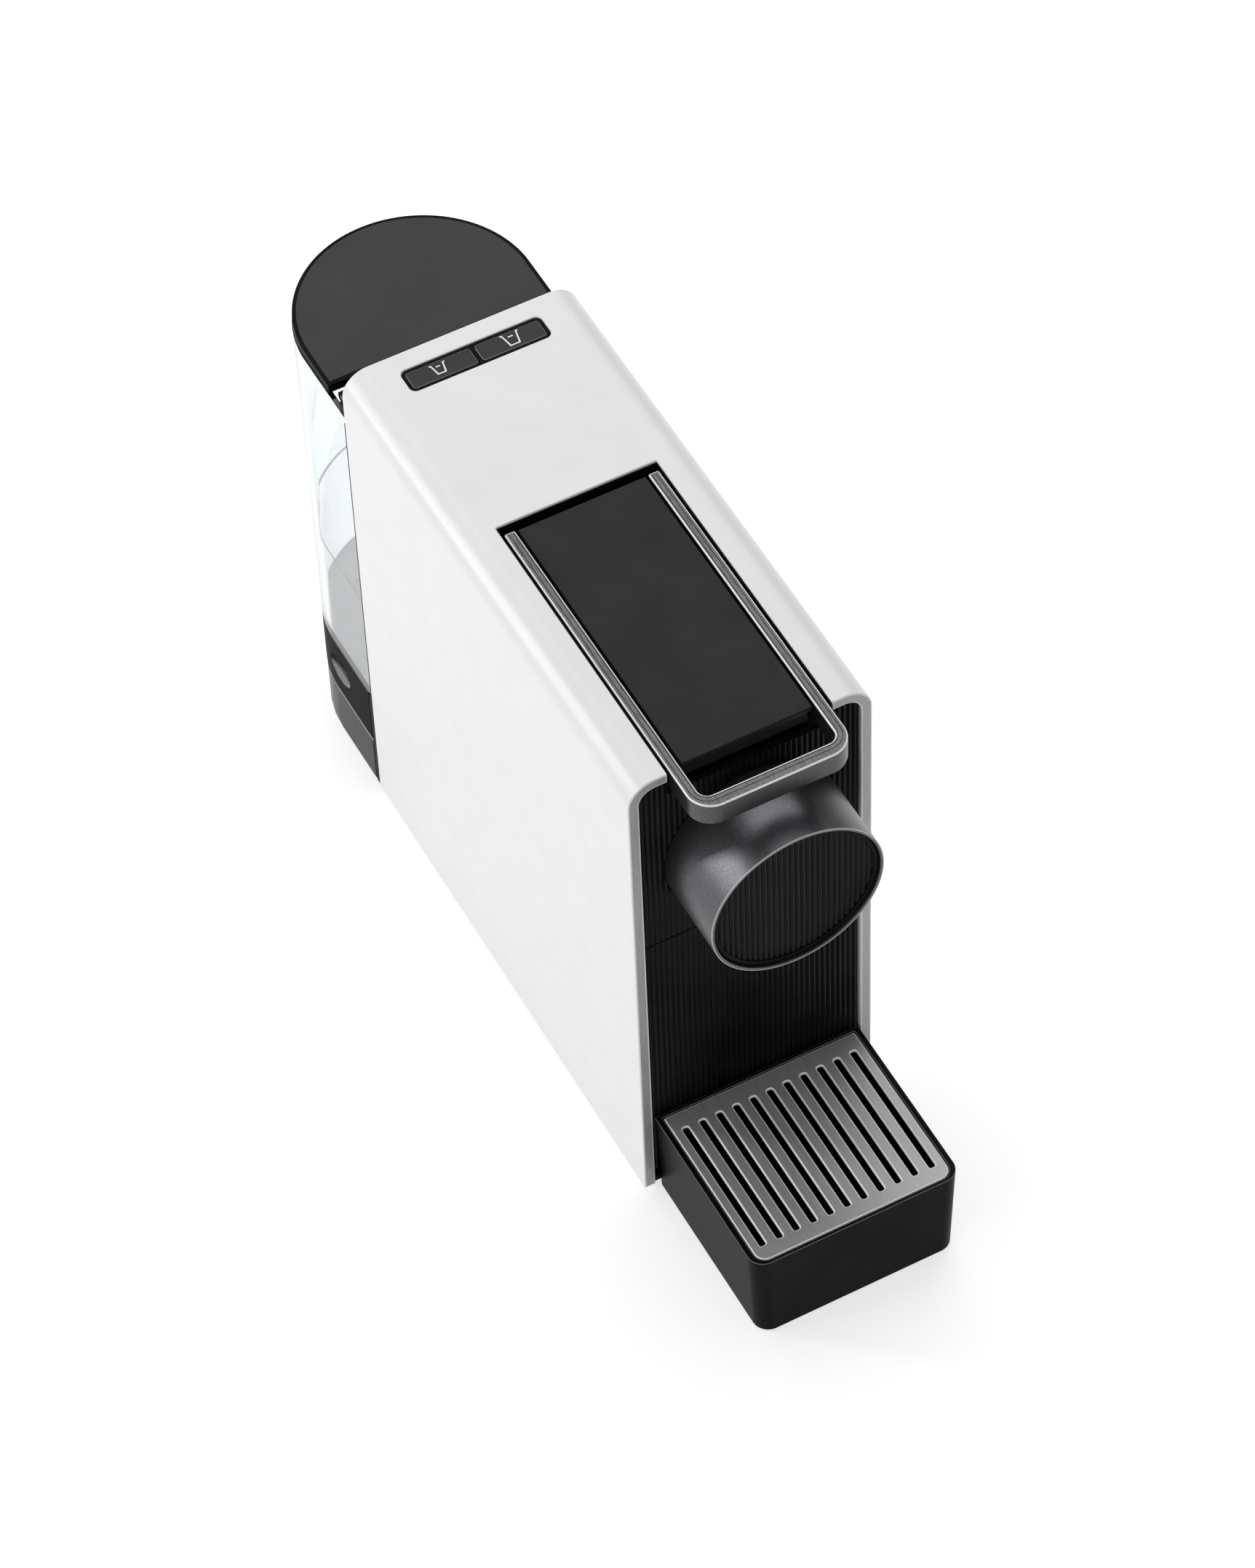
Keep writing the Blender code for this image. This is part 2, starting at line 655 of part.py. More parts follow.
def lever():
    """The lever: a U-shaped handle round a flat cover, both on one pair of pins."""
    at = pivot("lever_axis", (0.0, PIVOT_Y, PIVOT_Z))
    half = LEVER_WIDTH / 2
    front = SHELL_FRONT - LEVER_REACH
    rear = OPENING_REAR - LEVER_REAR
    inner = half - LEVER_RAIL
    inner_radius = LEVER_RADIUS - LEVER_RAIL
    outer = arc((half - LEVER_RADIUS, front + LEVER_RADIUS), LEVER_RADIUS, 0, -90, 6)
    outer += arc((LEVER_RADIUS - half, front + LEVER_RADIUS), LEVER_RADIUS, -90, -180, 6)
    bar = front + LEVER_BAR + inner_radius
    hollow = arc((inner_radius - inner, bar), inner_radius, 180, 270, 6)
    hollow += arc((inner - inner_radius, bar), inner_radius, 270, 360, 6)
    outline = [(half, rear)] + outer + [(-half, rear), (-inner, rear)] + hollow + [(inner, rear)]
    handle = piece(
        "lever_handle", prism(outline, LEVER_BOTTOM, LEVER_TOP), "graphite_metal", at
    )
    lug_y = (PIVOT_Y - LUG_REACH, PIVOT_Y + LUG_REACH)
    lug_z = (PIVOT_Z - LUG_REACH, LEVER_TOP - LEVER_DEPTH / 8)
    for sign in (-1, 1):
        x = sorted((sign * inner, sign * half))
        join(handle, block(x, lug_y, lug_z))
    place = (0.0, PIVOT_Y, PIVOT_Z)
    cut(handle, rod(PIN_RADIUS + GAP / 3, -half - OVERCUT, half + OVERCUT, place, "X", 16))

    half = inner - COVER_GAP
    y = (SHELL_FRONT + COVER_SETBACK, rear - GAP)
    z = (COVER_BOTTOM, LEVER_TOP)
    cover = piece("lever_cover", block((-half, half), y, z), "dark_plastic", at)
    wall = COVER_WALL
    cut(
        cover,
        block(
            (wall - half, half - wall),
            (y[0] + wall, y[1] - wall),
            (z[0] - OVERCUT, z[1] - wall),
        ),
    )


def tray_and_container():
    """What pulls out forward: the drip tray with its sled, and the used-capsule container on it."""
    at = pivot("tray_axis", (0.0, FRONT, TRAY_LIFT))
    foot = tray_outline(0.0, TRAY_DRAFT)
    outer = lofted(foot, tray_outline(0.0), TRAY_LIFT, TRAY_HEIGHT)
    tray = piece("drip_tray", outer, "black_plastic", at)
    half = TRAY_HALF - TRAY_DRAFT
    sled = ((-half, half), (TRAY_BACK - TRAY_WALL / 2, CONTAINER_REAR), (SLED_BOTTOM, SLED_TOP))
    join(tray, block(*sled))
    floor = tray_outline(TRAY_WALL, TRAY_SHOULDER + TRAY_DRAFT)
    basin = tray_outline(TRAY_WALL, TRAY_SHOULDER)
    ledge = TRAY_HEIGHT - GRATE_THICKNESS - GAP
    cut(tray, lofted(floor, basin, TRAY_LIFT + TRAY_WALL, TRAY_HEIGHT + OVERCUT))
    step = tray_outline(TRAY_WALL - GRATE_LEDGE, TRAY_SHOULDER)
    cut(tray, prism(step, ledge, TRAY_HEIGHT + OVERCUT))

    lift = pivot("grate_axis", (0.0, (FRONT + TRAY_BACK) / 2, TRAY_HEIGHT), at)
    rim = tray_outline(TRAY_WALL - GRATE_LEDGE + GAP, TRAY_SHOULDER)
    plate = prism(rim, ledge + GAP, TRAY_HEIGHT)
    grate = piece("drip_grate", plate, "grate_metal", lift)
    grate.location = -Vector(lift.location)
    low = FRONT + TRAY_WALL + SLOT_MARGIN_FRONT
    y = (low, TRAY_BACK - TRAY_WALL - SLOT_MARGIN_REAR)
    for index in range(SLOT_COUNT):
        x = (index - (SLOT_COUNT - 1) / 2) * SLOT_PITCH
        slot = rectangle(SLOT_WIDTH / 2, (y[1] - y[0]) / 2, 0.0, (x, sum(y) / 2))
        cut(grate, prism(slot, ledge - OVERCUT, TRAY_HEIGHT + OVERCUT))

    half = INSIDE - RUNNING
    z = (SLED_TOP + GAP, CONTAINER_TOP)
    container = piece(
        "capsule_container",
        block((-half, half), (FASCIA_FRONT, CONTAINER_REAR), z),
        "black_plastic",
        at,
    )
    wall = CONTAINER_WALL
    cut(
        container,
        block(
            (wall - half, half - wall),
            (FASCIA_FRONT + PANEL_THICKNESS, CONTAINER_REAR - wall),
            (z[0] + wall, z[1] + OVERCUT),
        ),
    )


def tray_outline(inset, narrowing=0.0):
    """The tray from above, set in by inset all round and further in on its two sides."""
    half = TRAY_HALF - inset - narrowing
    radius = TRAY_RADIUS - inset
    y = (FRONT + inset, TRAY_BACK - inset)
    outline = [(half, y[1]), (-half, y[1])]
    outline += arc((radius - half, y[0] + radius), radius, 180, 270, 5)
    return outline + arc((half - radius, y[0] + radius), radius, 270, 360, 5)


def buttons():
    """The two cup buttons in their frame, over the switches on the control board."""
    frame_top = HEIGHT - GAP
    flange_top = CEILING - GAP
    flange = 0.0022
    outer = rectangle(PAD_WIDTH / 2 - GAP, PAD_LENGTH / 2 - GAP, PAD_RADIUS - GAP, (0.0, PAD_Y))
    frame = piece("button_frame", prism(outer, flange_top - flange, frame_top), "black_plastic")
    reach = 0.003
    wide = (PAD_WIDTH / 2 + reach, PAD_LENGTH / 2 + reach)
    join(
        frame,
        block(
            (-wide[0], wide[0]),
            (PAD_Y - wide[1], PAD_Y + wide[1]),
            (flange_top - flange - 0.0002, flange_top),
        ),
    )
    half_y = PAD_LENGTH / 2 - PAD_RIM
    x_near = PAD_RIM / 2
    x_far = PAD_WIDTH / 2 - PAD_RIM
    middle = (x_near + x_far) / 2
    half_x = (x_far - x_near) / 2
    bottom = frame_top - BUTTON_DEPTH
    board_top = bottom - BUTTON_TRAVEL - GAP - SWITCH_SIZE * 0.7
    for name, sign in (("small_cup", -1), ("large_cup", 1)):
        centre = (sign * middle, PAD_Y)
        corner = PAD_RADIUS - PAD_RIM
        hole = rectangle(half_x, half_y, corner, centre, 3)
        cut(frame, prism(hole, flange_top - 2 * flange, frame_top + OVERCUT))
        at = pivot(f"{name}_axis", (*centre, frame_top))
        cap = rectangle(half_x - GAP, half_y - GAP, corner - GAP, centre, 3)
        button = piece(f"{name}_button", prism(cap, flange_top - 0.003, frame_top), "dark_plastic", at)
        stem = SWITCH_SIZE / 4
        join(
            button,
            block(
                (centre[0] - stem, centre[0] + stem),
                (PAD_Y - stem, PAD_Y + stem),
                (bottom, flange_top - 0.002),
            ),
        )
        side = SWITCH_SIZE / 2
        piece(
            f"{name}_switch",
            block(
                (centre[0] - side, centre[0] + side),
                (PAD_Y - side, PAD_Y + side),
                (board_top + GAP, bottom - BUTTON_TRAVEL - GAP),
            ),
            "grey_plastic",
        )
    board_y = (PAD_Y - 0.02, PANEL_FRONT - GAP)
    half = PAD_WIDTH / 2 + reach
    z = (board_top - BOARD_THICKNESS, board_top)
    piece("control_board", block((-half, half), board_y, z), "circuit_board")


def dock():
    """What the tank stands on: the spine, the dark core in its smoky skirt, the dock and seal."""
    z = (DOCK_LIFT, DOCK_TOP)
    spine = piece(
        "dock_spine",
        block((-TANK_HALF, TANK_HALF), (TANK_FRONT, SPINE_REAR), z),
        "black_plastic",
    )
    cut(spine, hose_hole(TANK_FRONT, SPINE_REAR))
    front = SPINE_REAR + GAP
    skirt = u_outline(TANK_HALF, SKIRT_WALL, front, REAR)
    wall = piece("dock_skirt", prism(skirt, DOCK_LIFT, SKIRT_TOP), "smoke_plastic")
    core_half = TANK_HALF - SKIRT_WALL - GAP
    core = d_outline(core_half, front, REAR - SKIRT_WALL - GAP)
    base = piece("dock_base", prism(core, DOCK_LIFT, SKIRT_TOP), "dark_plastic")
    at = (0.0, front + GLAND_RADIUS + GLAND_MARGIN, DOCK_LIFT + GLAND_RADIUS + GLAND_MARGIN)
    hole = GLAND_RADIUS + GAP
    pocket = core_half - GLAND_DEPTH - RUNNING
    cut(base, rod(hole, pocket, core_half + OVERCUT, at, "X", 20))
    cut(wall, rod(hole, core_half - OVERCUT, TANK_HALF + OVERCUT, at, "X", 20))
    ends = (core_half - GLAND_DEPTH, TANK_HALF + GLAND_STANDS_OUT)
    piece("cord_gland", ring(GLAND_BORE, GLAND_RADIUS, *ends, at, "X", 20), "rubber")
    outline = d_outline(TANK_HALF, front, REAR)
    cup = piece("tank_dock", prism(outline, SKIRT_TOP + GAP, DOCK_TOP), "dark_plastic")
    place = (0.0, VALVE_Y, 0.0)
    floor = DOCK_TOP - RECESS_DEPTH
    cut(cup, ring(PLUNGER_RADIUS, RECESS_RADIUS, floor, DOCK_TOP + OVERCUT, place))
    cut(cup, rod(PLUNGER_RADIUS + GAP, floor + RECESS_DEPTH / 3, DOCK_TOP + OVERCUT, place))
    seal_z = (floor + RECESS_DEPTH / 2, floor + RECESS_DEPTH * 0.75)
    piece(
        "dock_seal",
        ring(VALVE_RADIUS + GAP, RECESS_RADIUS - GAP, *seal_z, place),
        "rubber",
    )


def tank():
    """The clear tank with its valve, hinge strip and lid."""
    at = pivot("tank_axis", (0.0, VALVE_Y, TANK_BOTTOM))
    outer = d_outline(TANK_HALF, TANK_FRONT, REAR, 24)
    body = piece("water_tank", prism(outer, TANK_BOTTOM, TANK_TOP), "clear_plastic", at)
    inner = d_outline(TANK_HALF - TANK_WALL, TANK_FRONT + TANK_WALL, REAR - TANK_WALL, 24)
    cut(body, prism(inner, TANK_BOTTOM + TANK_FLOOR, TANK_TOP + OVERCUT))
    place = (0.0, VALVE_Y, 0.0)
    floor_top = TANK_BOTTOM + TANK_FLOOR
    cut(body, rod(VALVE_RADIUS + GAP, TANK_BOTTOM - OVERCUT, floor_top + OVERCUT, place))

    flange_bottom = floor_top + GAP
    flange_top = flange_bottom + VALVE_FLANGE_THICKNESS
    stem_bottom = DOCK_TOP - RECESS_DEPTH * 0.6
    profile = [
        (VALVE_BORE, stem_bottom),
        (VALVE_RADIUS, stem_bottom),
        (VALVE_RADIUS, flange_bottom),
        (VALVE_FLANGE_RADIUS, flange_bottom),
        (VALVE_FLANGE_RADIUS, flange_top),
        (VALVE_BORE, flange_top),
    ]
    piece("tank_valve", turned(profile, place), "black_plastic", at)
    rise = pivot("plunger_axis", (0.0, VALVE_Y, flange_top), at)
    tip = stem_bottom + 0.001
    head = VALVE_BORE + PLUNGER_RADIUS / 2
    head_top = flange_top + VALVE_FLANGE_THICKNESS
    plunger = [
        (0.0, tip),
        (PLUNGER_RADIUS, tip),
        (PLUNGER_RADIUS, flange_top + GAP),
        (head, flange_top + GAP),
        (head, head_top),
        (0.0, head_top),
    ]
    moved = piece("valve_plunger", turned(plunger, place), "steel", rise)
    moved.location = -Vector(rise.location)

    strip_rear = HINGE_Y - KNUCKLE_RADIUS - FREE
    strip = piece(
        "lid_hinge_strip",
        block(
            (-TANK_HALF + GAP, TANK_HALF - GAP),
            (TANK_FRONT + GAP, strip_rear),
            (TANK_TOP + GAP, LID_TOP - GAP),
        ),
        "black_plastic",
        at,
    )
    swing = pivot("lid_axis", (0.0, HINGE_Y, HINGE_Z), at)
    lid_front = SHELL_REAR + LID_START
    lid_outline = d_outline(TANK_HALF - GAP, lid_front, REAR - GAP, 24)
    lid = piece("tank_lid", prism(lid_outline, TANK_TOP + GAP, LID_TOP), "dark_plastic", swing)
    lid.location = -Vector(swing.location)
    ear_end = TANK_HALF - TANK_WALL - RUNNING
    ear_x = (ear_end - KNUCKLE_LENGTH, ear_end)
    lug_x = (ear_x[0] - RUNNING - KNUCKLE_LENGTH, ear_x[0] - RUNNING)
    hinge = (0.0, HINGE_Y, HINGE_Z)
    for side, sign in (("left", -1), ("right", 1)):
        x = sorted((sign * ear_x[0], sign * ear_x[1]))
        join(strip, rod(KNUCKLE_RADIUS, *x, hinge, "X", 16))
        web_z = (HINGE_Z - 0.0005, HINGE_Z + KNUCKLE_RADIUS * 0.8)
        join(strip, block(x, (strip_rear - 0.001, HINGE_Y), web_z))
        x = sorted((sign * lug_x[0], sign * lug_x[1]))
        join(lid, rod(KNUCKLE_RADIUS, *x, hinge, "X", 16))
        join(lid, block(x, (HINGE_Y, lid_front + 0.001), web_z))
        x = sorted((sign * (lug_x[0] - 0.001), sign * (ear_x[1] - GAP)))
        piece(f"lid_pin_{side}", rod(LID_PIN_RADIUS, *x, hinge, "X", 12), "steel", at)
    hole = LID_PIN_RADIUS + 0.0002
    for obj in (strip, lid):
        for sign in (-1, 1):
            x = sorted((sign * (lug_x[0] - 0.002), sign * ear_x[1]))
            cut(obj, rod(hole, *x, hinge, "X", 12))


def water_works():
    """The pump in its bracket on two rubber rings, the heater, the flow meter and the hoses."""
    place = (0.0, 0.0, PUMP_HEIGHT)
    coil = (PUMP_FRONT + PUMP_LENGTH * 0.28, PUMP_REAR - PUMP_LENGTH * 0.28)
    profile = [
        (0.0, PUMP_FRONT),
        (PUMP_NECK - 0.003, PUMP_FRONT),
        (PUMP_NECK, PUMP_FRONT + 0.004),
        (PUMP_NECK, coil[0]),
        (PUMP_RADIUS, coil[0]),
        (PUMP_RADIUS, coil[1]),
        (PUMP_NECK, coil[1]),
        (PUMP_NECK, PUMP_REAR - 0.004),
        (PUMP_NECK - 0.003, PUMP_REAR),
        (0.0, PUMP_REAR),
    ]
    piece("water_pump", turned(profile, place, "Y"), "steel")
    ring_length = 0.006
    rings = {
        "front": (coil[0] - 0.003 - ring_length, coil[0] - 0.003),
        "rear": (coil[1] + 0.003, coil[1] + 0.003 + ring_length),
    }
    half = MOUNT_RADIUS + 0.005
    floor = FLOOR_TOP + GAP
    y = (rings["front"][0], rings["rear"][1])
    bracket = piece(
        "pump_bracket", block((-half, half), y, (floor, floor + BRACKET_WALL)), "steel"
    )
    for name, (low, high) in rings.items():
        piece(
            f"pump_mount_{name}",
            ring(PUMP_NECK + GAP, MOUNT_RADIUS, low, high, place, "Y"),
            "rubber",
        )
        wall = (low + high - BRACKET_WALL) / 2, (low + high + BRACKET_WALL) / 2
        top = PUMP_HEIGHT + MOUNT_RADIUS + 0.004
        join(bracket, block((-half, half), wall, (floor + 0.0005, top)))
        cut(
            bracket,
            rod(MOUNT_RADIUS + GAP, wall[0] - 0.001, wall[1] + 0.001, place, "Y"),
        )

    size_x, size_y, size_z = HEATER_SIZE
    y = (HEATER_Y - size_y / 2, HEATER_Y + size_y / 2)
    outline = rectangle(size_x / 2, size_z / 2, 0.008, (0.0, HEATER_BOTTOM + size_z / 2))
    piece("heater_block", prism(outline, *y, "Y"), "cast_aluminium")

    meter = (METER_X, 0.0, METER_HEIGHT)
    cup_wall = 0.002
    cup_floor = METER_Y + METER_LENGTH - cup_wall
    profile = [
        (0.0, cup_floor),
        (METER_RADIUS - cup_wall, cup_floor),
        (METER_RADIUS - cup_wall, METER_Y + cup_wall),
        (METER_RADIUS, METER_Y + cup_wall),
        (METER_RADIUS, METER_Y + METER_LENGTH),
        (0.0, METER_Y + METER_LENGTH),
    ]
    piece("flow_meter_body", turned(profile, meter, "Y"), "grey_plastic")
    cover_rear = METER_Y + cup_wall - GAP
    piece("flow_meter_cover", rod(METER_RADIUS, METER_Y, cover_rear, meter, "Y"), "grey_plastic")
    spin = pivot("rotor_axis", (METER_X, METER_Y + METER_LENGTH / 2, METER_HEIGHT))
    rotor_y = (METER_Y + cup_wall + RUNNING, cup_floor - RUNNING)
    rotor = piece("flow_meter_rotor", rod(0.003, *rotor_y, meter, "Y", 16), "black_plastic", spin)
    vane = 0.0012
    for half_x, half_z in ((ROTOR_RADIUS, vane), (vane, ROTOR_RADIUS)):
        blade = rectangle(half_x, half_z, 0.0, (METER_X, METER_HEIGHT))
        join(rotor, prism(blade, rotor_y[0] + 0.0005, rotor_y[1] - 0.0005, "Y"))

    dock_z = (SKIRT_TOP + DOCK_TOP) / 2
    meter_y = METER_Y + METER_LENGTH / 2
    hose(
        "tank_hose",
        [
            (METER_X, SPINE_REAR - GAP, dock_z),
            (METER_X, PANEL_FRONT - 0.001, dock_z),
            (METER_X, meter_y, dock_z + 0.007),
            (METER_X, meter_y, METER_HEIGHT - METER_RADIUS - GAP),
        ],
    )
    hose(
        "pump_inlet_hose",
        [
            (METER_X + METER_RADIUS + GAP, meter_y, METER_HEIGHT),
            (METER_X + METER_RADIUS + 0.006, meter_y, METER_HEIGHT),
            (0.0, meter_y, METER_HEIGHT - 0.012),
            (0.0, meter_y, PUMP_HEIGHT + 0.014),
            (0.0, PUMP_REAR + 0.005, PUMP_HEIGHT),
            (0.0, PUMP_REAR + 2 * GAP, PUMP_HEIGHT),
        ],
    )
    hose(
        "heater_hose",
        [
            (0.0, PUMP_FRONT - 2 * GAP, PUMP_HEIGHT),
            (0.0, PUMP_FRONT - 0.008, PUMP_HEIGHT),
            (0.0, HEATER_Y, PUMP_HEIGHT + 0.022),
            (0.0, HEATER_Y, HEATER_BOTTOM - GAP),
        ],
    )
    outlet_y = HEATER_Y + 0.006
    hose(
        "brew_hose",
        [
            (-0.008, outlet_y, HEATER_TOP + GAP),
            (-0.008, outlet_y, HEATER_TOP + 0.010),
            (-0.014, outlet_y, HEAD_HEIGHT - 0.015),
            (0.008 - CHEEK_INNER, outlet_y, HEAD_HEIGHT - 0.006),
            (2 * GAP - CHEEK_INNER, outlet_y, HEAD_HEIGHT - 0.006),
        ],
    )


def main():
    """Builds the machine from the outside in."""
    clear_scene()
    outer_shell()
    base_plate()
    rear_panel()
    front_fascia()
    brew_head()
    brew_unit()
    brew_carriage()
    lever()
    tray_and_container()
    buttons()
    dock()
    tank()
    water_works()


main()
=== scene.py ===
"""Looks of the slim lever-top pod coffee machine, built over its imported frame.

Metres, +Z up, the front towards -Y. Each sub-assembly is a class that makes its pieces and dresses
them, and each finish is a frozen dataclass that writes its own node material.
"""

import json
import logging
import math
from dataclasses import dataclass
from enum import Enum
from typing import Any, Callable, Iterable, Sequence

import bmesh
import bpy
from mathutils import Euler, Matrix, Vector

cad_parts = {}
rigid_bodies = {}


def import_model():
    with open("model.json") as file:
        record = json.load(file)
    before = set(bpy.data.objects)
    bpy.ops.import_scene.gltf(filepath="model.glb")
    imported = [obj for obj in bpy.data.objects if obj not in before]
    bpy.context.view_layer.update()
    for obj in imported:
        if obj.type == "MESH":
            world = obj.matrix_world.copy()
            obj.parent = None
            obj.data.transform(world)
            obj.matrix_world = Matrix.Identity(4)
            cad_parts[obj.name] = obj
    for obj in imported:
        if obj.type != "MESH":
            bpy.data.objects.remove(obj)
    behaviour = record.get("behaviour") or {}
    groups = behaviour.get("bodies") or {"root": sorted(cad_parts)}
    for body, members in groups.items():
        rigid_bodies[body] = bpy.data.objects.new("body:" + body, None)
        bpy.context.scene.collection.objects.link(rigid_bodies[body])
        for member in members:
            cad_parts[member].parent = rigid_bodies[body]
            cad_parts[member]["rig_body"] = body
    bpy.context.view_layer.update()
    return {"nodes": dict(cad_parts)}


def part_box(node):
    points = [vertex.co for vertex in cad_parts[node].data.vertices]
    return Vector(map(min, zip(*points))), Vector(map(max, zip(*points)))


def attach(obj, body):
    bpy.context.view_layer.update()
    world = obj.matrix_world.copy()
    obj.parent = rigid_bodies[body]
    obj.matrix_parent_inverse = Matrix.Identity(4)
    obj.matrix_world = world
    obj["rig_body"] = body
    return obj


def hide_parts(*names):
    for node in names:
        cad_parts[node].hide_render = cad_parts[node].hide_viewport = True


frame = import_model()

LOG = logging.getLogger("coffee_machine")

Point = tuple[float, float]
Place = tuple[float, float, float]
Colour = tuple[float, float, float]
Socket = bpy.types.NodeSocket

GAP = 0.0003  # between a piece and the next one
OVERCUT = 0.001  # how far a cutter reaches past what it cuts
INLAY = 0.00002  # how far a let-in piece stays off the sides of its groove
WELD = 0.0002  # how far two shapes that are joined reach into each other
FINE = 128  # sides of the largest turned shapes
ROUND = 96  # sides of the large turned shapes
BEND = 14  # steps round an outline's corner
SHARP_FROM = 40.0  # degrees between two faces that stay apart in the shading
SOFTEN_FROM = 35.0  # degrees between two faces whose edge is rounded
FLAT_WITHIN = 1.0  # degrees between two faces that count as one flat


class Axis(Enum):
    """The axis that an outline is carried along or turned about."""

    X = "X"
    Y = "Y"
    Z = "Z"

    def place(self, u: float, v: float, along: float) -> Place:
        """The point that an outline's u and v give at a place along this axis."""
        if self is Axis.X:
            return (along, u, v)
        if self is Axis.Y:
            return (u, along, v)
        return (u, v, along)


class Side(Enum):
    """The machine's left and right, as seen from its front."""

    LEFT = -1
    RIGHT = 1

    @property
    def label(self) -> str:
        """The word that node names end in."""
        return self.name.lower()

    def span(self, near: float, far: float) -> Point:
        """The range of X on this side between two distances from the middle."""
        return tuple(sorted((self.value * near, self.value * far)))


# ---------------------------------------------------------------- node trees


def operator(operation: str, swapped: bool = False) -> Callable[["Value", Any], "Value"]:
    """A method of Value that adds one Math node, with its two operands swapped where asked."""

    def method(value: "Value", other: Any) -> "Value":
        """The two operands under the operation."""
        operands = (other, value) if swapped else (value, other)
        return value.tree.math(operation, *operands)

    return method


class Value:
    """A socket that takes part in Python expressions."""

    def __init__(self, tree: "NodeTree", socket: Socket) -> None:
        """Keeps the socket and the tree it is in."""
        self.tree = tree
        self.socket = socket

    def __abs__(self) -> "Value":
        """The size of self without its sign."""
        return self.tree.math("ABSOLUTE", self)

    __add__ = __radd__ = operator("ADD")
    __sub__ = operator("SUBTRACT")
    __rsub__ = operator("SUBTRACT", swapped=True)
    __mul__ = __rmul__ = operator("MULTIPLY")
    __truediv__ = operator("DIVIDE")
    __pow__ = operator("POWER")


class NodeTree:
    """What shader and geometry trees share: one way to make a node, and sums on values."""

    def __init__(self, tree: bpy.types.NodeTree) -> None:
        """Keeps the tree that nodes are added to."""
        self.tree = tree

    def feed(self, socket: Socket, value: Any) -> None:
        """Links a Value or a socket to a socket, or sets the socket to a constant."""
        if isinstance(value, Value):
            value = value.socket
        if isinstance(value, Socket):
            self.tree.links.new(value, socket)
        elif socket.type == "RGBA" and len(value) == 3:
            socket.default_value = (*value, 1.0)
        else:
            socket.default_value = value

    def node(
        self,
        kind: str,
        settings: dict[str, Any] | None = None,
        sockets: dict[str | int, Any] | None = None,
    ) -> bpy.types.Node:
        """Makes one node.

        Args:
            kind: The node's type.
            settings: Its settings, set first; "stops" fills a ramp with (place, colour) pairs.
            sockets: Values or links for its inputs, by name or place.

        Returns:
            The node.
        """
        made = self.tree.nodes.new(kind)
        for name, value in (settings or {}).items():
            if name == "stops":
                ramp = made.color_ramp
                while len(ramp.elements) < len(value):
                    ramp.elements.new(0.5)
                for element, (place, shade) in zip(ramp.elements, value):
                    element.position = place
                    element.color = (*shade, 1.0)
            else:
                setattr(made, name, value)
        for name, value in (sockets or {}).items():
            self.feed(made.inputs[name], value)
        return made

    def math(self, operation: str, *values: Any) -> Value:
        """One Math node on up to three values."""
        sockets = dict(enumerate(values))
        made = self.node("ShaderNodeMath", {"operation": operation}, sockets)
        return Value(self, made.outputs[0])

    def vector(self, operation: str, *values: Any) -> Socket:
        """One Vector Math node on up to two vectors."""
        sockets = dict(enumerate(values))
        made = self.node("ShaderNodeVectorMath", {"operation": operation}, sockets)
        return made.outputs[0]

    def split(self, vector: Socket) -> tuple[Value, Value, Value]:
        """The three parts of a vector."""
        made = self.node("ShaderNodeSeparateXYZ", sockets={0: vector})
        return tuple(Value(self, output) for output in made.outputs)

    def join(self, x: Any, y: Any, z: Any) -> Socket:
        """A vector from its three parts."""
        return self.node("ShaderNodeCombineXYZ", sockets={0: x, 1: y, 2: z}).outputs[0]


